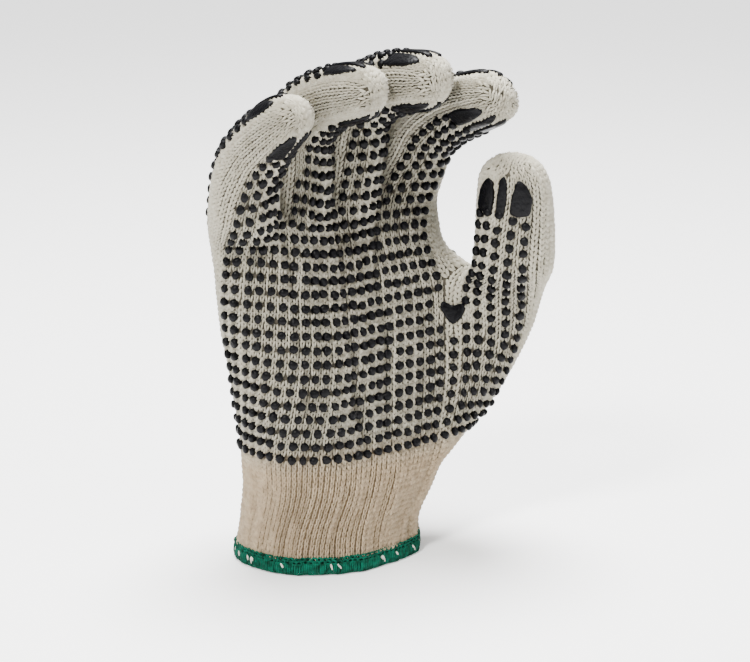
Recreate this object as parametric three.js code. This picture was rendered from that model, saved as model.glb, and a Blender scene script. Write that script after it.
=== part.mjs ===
import * as THREE from 'three'

// A right-hand knitted work glove with PVC grip patches, curled as it was shown, wrist opening down.
// Millimetres, +Z up the forearm, palm towards -Y, thumb at +X, origin in the middle of the wrist opening.

// Cloth, grip and edging thicknesses
const WALL = 2.0
const CLEARANCE = 0.3
const PATCH_CLEARANCE = 0.45
const PATCH_THICK = 1.1
const HEM_THICK = 1.2
const HEM_OUTSIDE = 5.4
const HEM_INSIDE = 4.5

// The knitting gauge: height of one course, and wales on the palm side, back side and each side strip
const COURSE = 2.05
const FRONT_WALES = 56
const SIDE_WALES = 6
const ROUND_WALES = 2 * (FRONT_WALES + SIDE_WALES)
const FINGER_WALES = 44
const THUMB_WALE = 46

// The wale that each lengthwise line of the palm follows, from the little finger side to the thumb
const LINES = [0, 5, 12, 19, 24, 29, 34, 39, 44, 46, 51, 56]

// Cuff sections: an oval turned by some degrees, with the heel of the hand added, and the wales at its ends
const CUFF = [
  { z: 0, x: 0, y: 0, turn: 20, halfWidth: 35.8, halfDepth: 26, heel: 1, littleWale: 5, thumbWale: 53 },
  { z: 14, x: 0.6, y: 0, turn: 20, halfWidth: 34.2, halfDepth: 24, heel: 2, littleWale: 5, thumbWale: 53 },
  { z: 28, x: 5.5, y: 1, turn: 23, halfWidth: 38.5, halfDepth: 23, heel: 3, littleWale: 4, thumbWale: 53 }
]
const CUFF_ANGLES = [180, 228, 275, 318, 338, 0, 22, 42, 90, 135]
const CUFF_HEEL_KEY = 1
const CUFF_THUMB_KEY = 5

// Palm sections with the thumb: x and y of twelve named places around the hand, and the rise at both sides
const PALM_PLACES = ['little', 'mound', 'hollow', 'rise', 'crease', 'pad', 'thumb', 'thumbBack', 'thumbRoot',
  'knuckleHigh', 'knuckleMid', 'littleBack']
const PALM = [
  {
    z: 43, littleRise: 4, thumbRise: 5, littleWale: 3, thumbWale: 54,
    little: [-32, -12], mound: [-26, -23], hollow: [-9, -27.5], rise: [19, -13], crease: [44, 3], pad: [53, 7.5],
    thumb: [61, 15], thumbBack: [51, 26], thumbRoot: [38, 31], knuckleHigh: [15, 30], knuckleMid: [-12, 19],
    littleBack: [-28, 3]
  },
  {
    z: 64, littleRise: 2, thumbRise: 4, littleWale: 1.5, thumbWale: 56,
    little: [-35, -13], mound: [-24, -25], hollow: [-2, -27.5], rise: [18, -9], crease: [48, 11], pad: [62, 7],
    thumb: [71, 9], thumbBack: [64, 22], thumbRoot: [49, 32], knuckleHigh: [20, 34], knuckleMid: [-10, 21],
    littleBack: [-31, 3]
  },
  {
    z: 83, littleRise: 0, thumbRise: 3, littleWale: 0.5, thumbWale: 57,
    little: [-37.5, -14], mound: [-21, -26.5], hollow: [-1, -23], rise: [19, -6], crease: [47, 14], pad: [63, 2],
    thumb: [78, 4], thumbBack: [71, 19], thumbRoot: [57, 31], knuckleHigh: [28, 36], knuckleMid: [-8, 24],
    littleBack: [-33, 3]
  },
  {
    z: 100, littleRise: 0, thumbRise: 1, littleWale: 0, thumbWale: 58,
    little: [-40, -16], mound: [-19, -25], hollow: [-4, -15], rise: [19, 3], crease: [46, 16], pad: [63, -7],
    thumb: [81.5, 1], thumbBack: [75, 14], thumbRoot: [61, 27], knuckleHigh: [33, 38], knuckleMid: [-5, 27],
    littleBack: [-34, 3]
  }
]
const PALM_WALES = { mound: 9, hollow: 17, rise: 31, crease: 45, thumbRoot: 2 * FRONT_WALES + SIDE_WALES - 45 }

// Sections of the upper palm, above the crotch of the thumb, with ten named places around the hand
const UPPER_PLACES = ['little', 'mound', 'hollow', 'rise', 'indexRoot', 'indexSide', 'knuckleHigh', 'knuckleMid',
  'knuckleLow', 'littleBack']
const UPPER = [
  {
    z: 111, littleWale: -1,
    little: [-40, -15], mound: [-19, -21], hollow: [-3, -9], rise: [17, 7], indexRoot: [36, 16],
    indexSide: [44, 25], knuckleHigh: [31, 39], knuckleMid: [2, 31], knuckleLow: [-18, 17], littleBack: [-36, 2]
  },
  {
    z: 120, littleWale: -2,
    little: [-41.5, -14], mound: [-19, -19], hollow: [-4, -4], rise: [15, 10], indexRoot: [34, 16],
    indexSide: [43, 26], knuckleHigh: [29, 39], knuckleMid: [1, 32], knuckleLow: [-20, 17], littleBack: [-38, 2]
  }
]
const UPPER_WALES = { mound: 9, hollow: 17, rise: 31, indexRoot: 43, indexSide: 47 }

// The digits: root point, the way that they curl (heading), lean to the side (splay), roll at the root and tip,
// curl at the root, the place and angle of both bends, length, and half widths and depths at root, bend and tip
const FINGERS = [
  {
    name: 'little', root: [-29.6, -15.3, 129.4], heading: 48.9, splay: -5.5, rootRoll: 18.2, tipRoll: -6.9,
    rootCurl: 10.5, bendAt: 24, bend: 41.3, secondAt: 45, second: 9.5, ease: 15, length: 60,
    halfWidth: [12, 11, 10.2], halfDepth: [13, 12, 9.2]
  },
  {
    name: 'ring', root: [-9.7, 3, 129.9], heading: 48.1, splay: -9.7, rootRoll: 16.8, tipRoll: 0.6,
    rootCurl: 7.6, bendAt: 34.7, bend: 56.4, secondAt: 59.7, second: 19.2, ease: 15, length: 79.9,
    halfWidth: [10.3, 11.4, 10.2], halfDepth: [13.5, 12.5, 10]
  },
  {
    name: 'middle', root: [7.7, 15.9, 131.9], heading: 42.1, splay: -2.4, rootRoll: 16.1, tipRoll: -3.4,
    rootCurl: 7.5, bendAt: 35.9, bend: 58.3, secondAt: 61.9, second: 19.4, ease: 15, length: 85.1,
    halfWidth: [10.3, 11.8, 11.3], halfDepth: [13.5, 12.5, 10.4]
  },
  {
    name: 'index', root: [29, 30.6, 131.6], heading: 33.5, splay: 4.2, rootRoll: 27.7, tipRoll: 18,
    rootCurl: 14.2, bendAt: 22.6, bend: 44.6, secondAt: 47.6, second: 16.4, ease: 14, length: 78.4,
    halfWidth: [11, 12.8, 11.8], halfDepth: [13.5, 12.5, 9.7]
  }
]
const THUMB = {
  name: 'thumb', root: [68.5, 2, 99], heading: -35, splay: 11, rootRoll: 0, tipRoll: -10, rootCurl: 14, bendAt: 30,
  bend: 6, secondAt: 44, second: 8, ease: 9, length: 53, halfWidth: [14.5, 14, 12.5], halfDepth: [14.5, 13.5, 11]
}
const KNUCKLE_LINE_TURN = 37
const TIP_ROUND = 9
const ROLL_REACH = 24
const TIP_ROLL_FROM = 14
const TIP_ROLL_TO = 48
const RING_GROWTH = 1.109
const WEB_RISE = 2
const CROTCH_RISE = 4
const DIGIT_FRONT_WALES = 10

// Grip patches: place across the digit and half width in wales, place from the tip and half height in millimetres
const TIP_PATCHES = [
  { name: 'petal_little_side', across: -3, fromTip: 12.2, halfWales: 1.6, halfHeight: 5.8, shape: 'petal' },
  { name: 'bar', across: 0, fromTip: 11.7, halfWales: 0.65, halfHeight: 5.7, shape: 'bar' },
  { name: 'petal_thumb_side', across: 3, fromTip: 12.2, halfWales: 1.6, halfHeight: 5.8, shape: 'petal' }
]
const DIGIT_MIDDLE_WALES = { little: 5, ring: 19, middle: 29, index: 39, thumb: 51 }
const CROTCH_PATCH = { wale: 45, z: 88, halfWales: 1.75, halfHeight: 4, shape: 'heart' }
const PATCH_SHAPES = {
  petal: [[-0.7, -1], [0.7, -1], [1, -0.6], [0.95, 0.1], [0.45, 0.75], [-0.1, 1], [-0.75, 0.4], [-1, -0.4]],
  bar: [[-0.8, -1], [0.8, -1], [1, -0.3], [0.9, 0.5], [0.3, 1], [-0.5, 0.9], [-1, 0.2], [-1, -0.5]],
  heart: [[0, -1], [0.65, -0.2], [1, 0.65], [0.65, 1], [0.05, 0.6], [-0.6, 1], [-1, 0.7], [-0.65, -0.1]]
}

// Colours
const KNIT = { color: 0xcfc6b4, roughness: 0.95, metalness: 0 }
const PVC = { color: 0x19191b, roughness: 0.42, metalness: 0 }
const HEM = { color: 0x07593f, roughness: 0.85, metalness: 0 }

const group = new THREE.Group()
group.name = 'pvc_dotted_knit_glove'

const radians = (degrees) => degrees * Math.PI / 180
const vector = (p) => new THREE.Vector3(p[0], p[1], p[2] ?? 0)
const midpoint = (a, b) => a.clone().add(b).multiplyScalar(0.5)

// A value read off a list of stations, in between them by proportion
function along (x, xs, ys) {
  if (x <= xs[0]) return ys[0]
  for (let i = 1; i < xs.length; i++) {
    if (x <= xs[i]) return ys[i - 1] + (ys[i] - ys[i - 1]) * (x - xs[i - 1]) / (xs[i] - xs[i - 1])
  }
  return ys[ys.length - 1]
}

// A smooth closed curve through the given places, and how far along it each place lies
function closedCurve (places) {
  const perSpan = 24
  const n = places.length
  const points = []
  for (let i = 0; i < n; i++) {
    const [a, b, c, d] = [-1, 0, 1, 2].map((k) => places[(i + k + n) % n])
    const t1 = Math.sqrt(a.distanceTo(b))
    const t2 = t1 + Math.sqrt(b.distanceTo(c))
    const t3 = t2 + Math.sqrt(c.distanceTo(d))
    const mix = (p, q, tp, tq, t) => p.clone().multiplyScalar((tq - t) / (tq - tp)).addScaledVector(q, (t - tp) / (tq - tp))
    for (let k = 0; k < perSpan; k++) {
      const t = t1 + (t2 - t1) * k / perSpan
      const ab = mix(a, b, 0, t1, t)
      const bc = mix(b, c, t1, t2, t)
      const cd = mix(c, d, t2, t3, t)
      points.push(mix(mix(ab, bc, 0, t2, t), mix(bc, cd, t1, t3, t), t1, t2, t))
    }
  }
  points.push(points[0].clone())
  const reach = [0]
  for (let i = 1; i < points.length; i++) reach.push(reach[i - 1] + points[i].distanceTo(points[i - 1]))
  return { points, reach, keyReach: places.map((_, i) => reach[i * perSpan]), length: reach[reach.length - 1] }
}

// One ring of points around the hand, each on its own wale, spread between places whose wale is known
function ringOnWales (places, known, wales, round) {
  const curve = closedCurve(places)
  const knownWales = known.map((k) => k.wale)
  const knownReach = known.map((k) => curve.keyReach[k.key])
  knownWales.push(knownWales[0] + round)
  knownReach.push(curve.length)
  knownWales.unshift(knownWales[knownWales.length - 2] - round)
  knownReach.unshift(knownReach[knownReach.length - 2] - curve.length)
  return wales.map((w) => {
    const s = along(w, knownWales, knownReach)
    const r = (s % curve.length + curve.length) % curve.length
    return new THREE.Vector3(
      along(r, curve.reach, curve.points.map((p) => p.x)),
      along(r, curve.reach, curve.points.map((p) => p.y)), 0)
  })
}

// The wales of a full ring: little finger side, palm, thumb side and back
function ringWales (lines, wholeRound) {
  const far = lines[lines.length - 1] + SIDE_WALES / 2
  return [-SIDE_WALES / 2, ...lines, far, ...[...lines].reverse().map((w) => wholeRound - SIDE_WALES - w)]
}

const HAND_WALES = ringWales(LINES, ROUND_WALES)
const UPPER_ROUND = 2 * (FINGER_WALES + SIDE_WALES)
const UPPER_LINES = LINES.slice(0, 9)

function cuffRing (row) {
  const wide = vector([Math.cos(radians(row.turn)), Math.sin(radians(row.turn))])
  const deep = vector([-Math.sin(radians(row.turn)), Math.cos(radians(row.turn))])
  const places = CUFF_ANGLES.map((angle, i) => {
    const depth = row.halfDepth + (i === CUFF_HEEL_KEY ? row.heel : 0)
    return vector([row.x, row.y])
      .addScaledVector(wide, row.halfWidth * Math.cos(radians(angle)))
      .addScaledVector(deep, depth * Math.sin(radians(angle)))
  })
  const known = [{ key: 0, wale: row.littleWale }, { key: CUFF_THUMB_KEY, wale: row.thumbWale }]
  const ring = ringOnWales(places, known, HAND_WALES, ROUND_WALES)
  ring.forEach((p) => p.setZ(row.z))
  return ring
}

function palmRing (row) {
  const places = PALM_PLACES.map((name) => vector(row[name]))
  const known = [{ key: 0, wale: row.littleWale }]
  for (const name of ['mound', 'hollow', 'rise', 'crease']) {
    known.push({ key: PALM_PLACES.indexOf(name), wale: PALM_WALES[name] })
  }
  known.push({ key: PALM_PLACES.indexOf('thumb'), wale: row.thumbWale })
  known.push({ key: PALM_PLACES.indexOf('thumbRoot'), wale: PALM_WALES.thumbRoot })
  const ring = ringOnWales(places, known, HAND_WALES, ROUND_WALES)
  const centre = (row.little[0] + row.thumb[0]) / 2
  const half = (row.thumb[0] - row.little[0]) / 2
  for (const p of ring) {
    const side = (p.x - centre) / half
    p.setZ(row.z + (side > 0 ? row.thumbRise : row.littleRise) * side * side)
  }
  return ring
}

function upperRing (row) {
  const places = UPPER_PLACES.map((name) => vector(row[name]))
  const known = [{ key: 0, wale: row.littleWale }]
  for (const name of Object.keys(UPPER_WALES)) {
    known.push({ key: UPPER_PLACES.indexOf(name), wale: UPPER_WALES[name] })
  }
  const ring = ringOnWales(places, known, ringWales(UPPER_LINES, UPPER_ROUND), UPPER_ROUND)
  ring.forEach((p) => p.setZ(row.z))
  return ring
}

// The centre line of a digit, as a walk that turns at its bends
function digitLine (digit) {
  const kneel = vector([Math.cos(radians(KNUCKLE_LINE_TURN)), Math.sin(radians(KNUCKLE_LINE_TURN))])
  const rise = new THREE.Vector3(0, 0, 1).addScaledVector(kneel, Math.tan(radians(digit.splay))).normalize()
  const palmWay = vector([Math.sin(radians(digit.heading)), -Math.cos(radians(digit.heading))])
  palmWay.addScaledVector(rise, -palmWay.dot(rise)).normalize()
  const sideWay = new THREE.Vector3().crossVectors(palmWay, rise).normalize()
  const across = vector([Math.cos(radians(digit.heading)), Math.sin(radians(digit.heading))])
  if (sideWay.dot(across) < 0) sideWay.negate()
  const turned = (s, at, ease) => THREE.MathUtils.smoothstep(s, at - ease, at + ease)
  const curl = (s) => radians(digit.rootCurl + digit.bend * turned(s, digit.bendAt, digit.ease) +
    digit.second * turned(s, digit.secondAt, 0.7 * digit.ease))
  const step = 0.5
  const walk = [vector(digit.root)]
  for (let s = 0; s < digit.length + 12; s += step) {
    const a = curl(s + step / 2)
    walk.push(walk[walk.length - 1].clone()
      .addScaledVector(rise, step * Math.cos(a)).addScaledVector(palmWay, step * Math.sin(a)))
  }
  const at = (s) => {
    const i = Math.min(Math.floor(s / step), walk.length - 2)
    return walk[i].clone().lerp(walk[i + 1], s / step - i)
  }
  return { rise, palmWay, sideWay, curl, at }
}

// Eight points around a digit at one place along it, from its little finger corner over the palm side
function digitRing (digit, line, s) {
  const a = line.curl(s)
  const out = line.rise.clone().multiplyScalar(-Math.sin(a)).addScaledVector(line.palmWay, Math.cos(a))
  const stations = [0, digit.bendAt, digit.length - 10]
  let half = along(s, stations, digit.halfWidth) * RING_GROWTH
  let deep = along(s, stations, digit.halfDepth) * RING_GROWTH
  const past = (s - (digit.length - TIP_ROUND)) / TIP_ROUND
  if (past > 0) {
    const round = Math.sqrt(1 - Math.min(past, 1) ** 2)
    half *= round
    deep *= round
  }
  const rootPart = digit.rootRoll * (1 - THREE.MathUtils.smoothstep(s, 0, ROLL_REACH))
  const tipPart = digit.tipRoll * THREE.MathUtils.smoothstep(s, TIP_ROLL_FROM, TIP_ROLL_TO)
  const roll = radians(rootPart + tipPart)
  const wide = line.sideWay.clone().multiplyScalar(Math.cos(roll)).addScaledVector(out, Math.sin(roll))
  const thick = out.clone().multiplyScalar(Math.cos(roll)).addScaledVector(line.sideWay, -Math.sin(roll))
  const front = DIGIT_FRONT_WALES
  const wales = [0, front / 2, front, front + 3, front + 6, 1.5 * front + 6, 2 * front + 6, 2 * front + 9]
  return wales.map((w) => {
    const angle = (w - front / 2) / (2 * front + 2 * SIDE_WALES) * 2 * Math.PI
    return line.at(s).addScaledVector(wide, half * Math.sin(angle)).addScaledVector(thick, deep * Math.cos(angle))
  })
}

// The cage of the glove: four-cornered faces, each with its place in the knitting chart (wale, course)
const points = []
const faces = []
const addPoint = (p) => points.push(p) - 1
function addFace (corners, fromWale, toWale, fromCourse, toCourse) {
  const chart = [[fromWale, fromCourse], [toWale, fromCourse], [toWale, toCourse], [fromWale, toCourse]]
  faces.push({ corners, chart })
}
function coursesBetween (lower, upper) {
  const total = lower.reduce((sum, p, i) => sum + points[p].distanceTo(points[upper[i]]), 0)
  return total / lower.length / COURSE
}

// Cuff and palm with the thumb's root
const handRings = [...CUFF.map(cuffRing), ...PALM.map(palmRing)].map((ring) => ring.map(addPoint))
const nextWales = [...HAND_WALES.slice(1), HAND_WALES[0] + ROUND_WALES]
const handCourses = [0]
for (let k = 1; k < handRings.length; k++) {
  const [lower, upper] = [handRings[k - 1], handRings[k]]
  handCourses.push(handCourses[k - 1] + coursesBetween(lower, upper))
  for (let i = 0; i < lower.length; i++) {
    const j = (i + 1) % lower.length
    addFace([lower[i], lower[j], upper[j], upper[i]], HAND_WALES[i], nextWales[i], handCourses[k - 1], handCourses[k])
  }
}
const crotchRing = handRings[handRings.length - 1]
const crotchCourse = handCourses[handCourses.length - 1]

// The crotch between index finger and thumb is a saddle of two faces
const [indexFront, thumbFront, thumbBack, indexBack] = [9, 10, 16, 17].map((i) => crotchRing[i])
const raised = (a, b, rise) => addPoint(midpoint(points[a], points[b]).add(new THREE.Vector3(0, 0, rise)))
const saddleIndex = raised(indexFront, indexBack, CROTCH_RISE)
const saddleThumb = raised(thumbFront, thumbBack, CROTCH_RISE)
const SADDLE_CHART = 600
addFace([indexFront, thumbFront, saddleThumb, saddleIndex], FINGER_WALES, THUMB_WALE, crotchCourse, crotchCourse + 3)
addFace([saddleIndex, saddleThumb, thumbBack, indexBack], FINGER_WALES, THUMB_WALE,
  crotchCourse + SADDLE_CHART, crotchCourse + SADDLE_CHART + 3)

// The upper palm up to the finger roots
const upperWales = [...HAND_WALES.slice(0, 10), FINGER_WALES + SIDE_WALES / 2, ...HAND_WALES.slice(17)]
const upperNext = [...upperWales.slice(1, 11), upperWales[11], ...upperWales.slice(12), HAND_WALES[0] + ROUND_WALES]
const upperRings = [[...crotchRing.slice(0, 10), saddleIndex, ...crotchRing.slice(17)]]
for (const row of UPPER) upperRings.push(upperRing(row).map(addPoint))

// Rings along each finger, closer together at its bends and tip
function digitStations (digit) {
  const near = 0.8 * digit.ease
  const count = Math.max(2, Math.round((digit.bendAt - near) / 9))
  const lower = Array.from({ length: count }, (_, k) => (digit.bendAt - near) * (k + 1) / count)
  const bend = [digit.bendAt - near / 3, digit.bendAt + near / 3, digit.bendAt + near]
  const middle = (digit.bendAt + near + digit.length - TIP_ROUND) / 2
  return [...lower, ...bend, middle, digit.length - TIP_ROUND, digit.length - 4, digit.length - 1]
}
const lines = FINGERS.map(digitLine)
const roots = FINGERS.map((finger, k) => digitRing(finger, lines[k], 0))
const knuckles = new Array(20)
const webs = []
knuckles[0] = addPoint(roots[0][7])
knuckles[1] = addPoint(roots[0][0])
knuckles[19] = addPoint(roots[0][6])
knuckles[9] = addPoint(roots[3][2])
knuckles[10] = addPoint(roots[3][3])
knuckles[11] = addPoint(roots[3][4])
roots.forEach((ring, k) => {
  knuckles[2 + 2 * k] = addPoint(ring[1])
  knuckles[18 - 2 * k] = addPoint(ring[5])
})
for (let k = 0; k < 3; k++) {
  knuckles[3 + 2 * k] = addPoint(midpoint(roots[k][2], roots[k + 1][0]))
  knuckles[17 - 2 * k] = addPoint(midpoint(roots[k][4], roots[k + 1][6]))
  webs.push(addPoint(midpoint(roots[k][3], roots[k + 1][7]).add(new THREE.Vector3(0, 0, WEB_RISE))))
}
upperRings.push(knuckles)
let course = crotchCourse
for (let k = 1; k < upperRings.length; k++) {
  const [lower, upper] = [upperRings[k - 1], upperRings[k]]
  const next = course + coursesBetween(lower, upper)
  for (let i = 0; i < 20; i++) {
    const j = (i + 1) % 20
    addFace([lower[i], lower[j], upper[j], upper[i]], upperWales[i], upperNext[i], course, next)
  }
  course = next
}
const rootCourse = course

// A digit is a tube of eight faces around, closed at its tip by four
const tipCourse = {}
function addDigit (digit, line, base, stations, spans, startCourse) {
  let lower = base
  let from = startCourse
  tipCourse[digit.name] = { at: [0], course: [startCourse] }
  for (const s of stations) {
    const ring = digitRing(digit, line, s).map(addPoint)
    const to = from + coursesBetween(lower, ring)
    for (let i = 0; i < 8; i++) {
      const j = (i + 1) % 8
      addFace([lower[i], lower[j], ring[j], ring[i]], spans[i][0], spans[i][1], from, to)
    }
    tipCourse[digit.name].at.push(s)
    tipCourse[digit.name].course.push(to)
    from = to
    lower = ring
  }
  const last = new THREE.Vector3()
  lower.forEach((p) => last.addScaledVector(points[p], 1 / 8))
  const end = line.at(digit.length)
  const tip = addPoint(end.clone().addScaledVector(end.clone().sub(last), 0.3))
  addFace([lower[0], lower[1], tip, lower[7]], spans[0][0], spans[0][1], from, from + 2)
  addFace([lower[1], lower[2], lower[3], tip], spans[1][0], spans[1][1], from, from + 2)
  addFace([tip, lower[3], lower[4], lower[5]], spans[4][0], spans[4][1], from, from + 2)
  addFace([lower[7], tip, lower[5], lower[6]], spans[5][0], spans[5][1], from, from + 2)
}
const BACK_END = 2 * FRONT_WALES + SIDE_WALES
function digitSpans (from, middle, to, chartOffset) {
  const [a, b] = [chartOffset, chartOffset + 100]
  return [[from, middle], [middle, to], [a, a + 3], [a + 3, a + 6], [BACK_END - to, BACK_END - middle],
    [BACK_END - middle, BACK_END - from], [b, b + 3], [b + 3, b + 6]]
}
FINGERS.forEach((finger, k) => {
  const left = k === 0 ? knuckles[0] : webs[k - 1]
  const right = k === 3 ? knuckles[10] : webs[k]
  const base = [knuckles[1 + 2 * k], knuckles[2 + 2 * k], knuckles[3 + 2 * k], right, knuckles[17 - 2 * k],
    knuckles[18 - 2 * k], knuckles[19 - 2 * k], left]
  const spans = digitSpans(LINES[2 * k], LINES[2 * k + 1], LINES[2 * k + 2], 300 + 20 * k)
  addDigit(finger, lines[k], base, digitStations(finger), spans, rootCourse)
})
const thumbLine = digitLine(THUMB)
const thumbStations = [9, 18, 27, 36, THUMB.length - TIP_ROUND, THUMB.length - 4, THUMB.length - 1]
const thumbBase = [...crotchRing.slice(10, 17), saddleThumb]
addDigit(THUMB, thumbLine, thumbBase, thumbStations, digitSpans(46, 51, 56, 380), crotchCourse)

// One round of smooth subdivision of the cage, which also divides the knitting chart
function subdivide (mesh) {
  const centres = mesh.faces.map((f) => {
    const c = new THREE.Vector3()
    f.corners.forEach((p) => c.addScaledVector(mesh.points[p], 0.25))
    return c
  })
  const edges = new Map()
  const edgeKey = (a, b) => (a < b ? `${a},${b}` : `${b},${a}`)
  mesh.faces.forEach((f, i) => {
    f.corners.forEach((a, k) => {
      const b = f.corners[(k + 1) % 4]
      const key = edgeKey(a, b)
      if (!edges.has(key)) edges.set(key, { a, b, faces: [] })
      edges.get(key).faces.push(i)
    })
  })
  const around = mesh.points.map(() => ({ mids: new THREE.Vector3(), rim: new THREE.Vector3(), open: false, n: 0 }))
  const faceSum = mesh.points.map(() => new THREE.Vector3())
  const faceCount = mesh.points.map(() => 0)
  mesh.faces.forEach((f, i) => {
    for (const p of f.corners) {
      faceSum[p].add(centres[i])
      faceCount[p] += 1
    }
  })
  for (const edge of edges.values()) {
    const mid = midpoint(mesh.points[edge.a], mesh.points[edge.b])
    const open = edge.faces.length === 1
    edge.point = open ? mid : midpoint(mid, midpoint(centres[edge.faces[0]], centres[edge.faces[1]]))
    for (const p of [edge.a, edge.b]) {
      around[p].mids.add(mid)
      around[p].n += 1
      if (open) {
        around[p].open = true
        around[p].rim.add(mid)
      }
    }
  }
  const moved = mesh.points.map((p, i) => {
    const { mids, rim, open, n } = around[i]
    if (open) return midpoint(rim.clone().multiplyScalar(0.5), p)
    return faceSum[i].clone().multiplyScalar(1 / faceCount[i]).addScaledVector(mids, 2 / n)
      .addScaledVector(p, n - 3).multiplyScalar(1 / n)
  })
  const all = [...moved, ...centres]
  for (const edge of edges.values()) edge.index = all.push(edge.point) - 1
  const smaller = []
  const between = (p, q) => [(p[0] + q[0]) / 2, (p[1] + q[1]) / 2]
  mesh.faces.forEach((f, i) => {
    const centre = moved.length + i
    const middle = between(between(f.chart[0], f.chart[2]), between(f.chart[1], f.chart[3]))
    f.corners.forEach((a, k) => {
      const before = (k + 3) % 4
      const after = (k + 1) % 4
      const ahead = edges.get(edgeKey(a, f.corners[after])).index
      const behind = edges.get(edgeKey(a, f.corners[before])).index
      const corners = [a, ahead, centre, behind]
      const chart = [f.chart[k], between(f.chart[k], f.chart[after]), middle, between(f.chart[k], f.chart[before])]
      const turn = (list) => [0, 1, 2, 3].map((j) => list[(j + 4 - k) % 4])
      smaller.push({ corners: turn(corners), chart: turn(chart) })
    })
  })
  return { points: all, faces: smaller }
}

// The direction that the cloth faces at each point
function facing (mesh) {
  const normals = mesh.points.map(() => new THREE.Vector3())
  for (const f of mesh.faces) {
    const [a, b, c, d] = f.corners.map((p) => mesh.points[p])
    const n = new THREE.Vector3().crossVectors(c.clone().sub(a), d.clone().sub(b))
    f.corners.forEach((p) => normals[p].add(n))
  }
  mesh.points.forEach((p, i) => {
    if (p.z < 0.01) normals[i].setZ(0)
    normals[i].normalize()
  })
  return normals
}

const skin = subdivide({ points, faces })
const normals = facing(skin)

function addSolid (name, vertices, triangles, look) {
  const geometry = new THREE.BufferGeometry()
  geometry.setAttribute('position', new THREE.Float32BufferAttribute(vertices.flatMap((p) => [p.x, p.y, p.z]), 3))
  geometry.setIndex(triangles.flat())
  geometry.computeVertexNormals()
  const mesh = new THREE.Mesh(geometry, new THREE.MeshStandardMaterial(look))
  mesh.name = name
  group.add(mesh)
}

// The open edge of the cloth, in order around the wrist
function wristEdge () {
  const next = new Map()
  const seen = new Set()
  for (const f of skin.faces) f.corners.forEach((a, k) => seen.add(`${a},${f.corners[(k + 1) % 4]}`))
  for (const f of skin.faces) {
    f.corners.forEach((a, k) => {
      const b = f.corners[(k + 1) % 4]
      if (!seen.has(`${b},${a}`)) next.set(a, b)
    })
  }
  const loop = [next.keys().next().value]
  while (next.get(loop[loop.length - 1]) !== loop[0]) loop.push(next.get(loop[loop.length - 1]))
  return loop
}
const edge = wristEdge()

// The knitted shell: one seamless cloth with an outside, an inside and a raw edge at the wrist
function knitShell () {
  const count = skin.points.length
  const inside = skin.points.map((p, i) => p.clone().addScaledVector(normals[i], -WALL))
  const triangles = []
  for (const f of skin.faces) {
    const [a, b, c, d] = f.corners
    triangles.push([a, b, c], [a, c, d])
    triangles.push([a + count, c + count, b + count], [a + count, d + count, c + count])
  }
  edge.forEach((a, i) => {
    const b = edge[(i + 1) % edge.length]
    triangles.push([b, a, a + count], [b, a + count, b + count])
  })
  addSolid('knit_shell', [...skin.points, ...inside], triangles, KNIT)
}
knitShell()

// The place and facing of the cloth at a wale and course of the chart
function onCloth (wale, courseAt) {
  for (const f of skin.faces) {
    const [low, , high] = f.chart
    const x = (wale - low[0]) / (high[0] - low[0])
    const y = (courseAt - low[1]) / (high[1] - low[1])
    if (x >= 0 && x <= 1 && y >= 0 && y <= 1) {
      const weights = [(1 - x) * (1 - y), x * (1 - y), x * y, (1 - x) * y]
      const place = new THREE.Vector3()
      const normal = new THREE.Vector3()
      f.corners.forEach((p, k) => {
        place.addScaledVector(skin.points[p], weights[k])
        normal.addScaledVector(normals[p], weights[k])
      })
      return { place, normal: normal.normalize() }
    }
  }
  throw new Error(`no cloth at wale ${wale}, course ${courseAt}`)
}

// The overlocked edging: a channel that wraps the raw edge from outside to inside
function hem () {
  const profile = [
    { up: HEM_OUTSIDE, out: CLEARANCE },
    { up: HEM_OUTSIDE - 0.6, out: CLEARANCE + HEM_THICK },
    { up: -CLEARANCE - 0.3 * HEM_THICK, out: CLEARANCE + HEM_THICK },
    { up: -CLEARANCE - HEM_THICK, out: -WALL / 2 },
    { up: -CLEARANCE, out: -WALL - CLEARANCE - HEM_THICK },
    { up: HEM_INSIDE, out: -WALL - CLEARANCE - 0.2 * HEM_THICK },
    { up: -CLEARANCE, out: -WALL - CLEARANCE },
    { up: -CLEARANCE, out: CLEARANCE }
  ]
  const n = profile.length
  const vertices = []
  const triangles = []
  edge.forEach((p, i) => {
    const above = upFrom(p)
    const rise = above.clone().sub(skin.points[p])
    for (const row of profile) {
      const lift = row.up > 0 ? row.up / rise.z : 0
      const spot = skin.points[p].clone().addScaledVector(rise, lift).addScaledVector(normals[p], row.out)
      spot.setZ(row.up)
      vertices.push(spot)
    }
    const j = (i + 1) % edge.length
    for (let k = 0; k < n; k++) {
      const m = (k + 1) % n
      triangles.push([i * n + k, i * n + m, j * n + m], [i * n + k, j * n + m, j * n + k])
    }
  })
  addSolid('hem_overlock', vertices, triangles, HEM)
}

// The point of the cloth straight above a point of the wrist edge
function upFrom (p) {
  for (const f of skin.faces) {
    const k = f.corners.indexOf(p)
    if (k >= 0 && edge.includes(f.corners[(k + 1) % 4])) return skin.points[f.corners[(k + 3) % 4]]
  }
  throw new Error('the wrist edge has no cloth above it')
}
hem()

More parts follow.
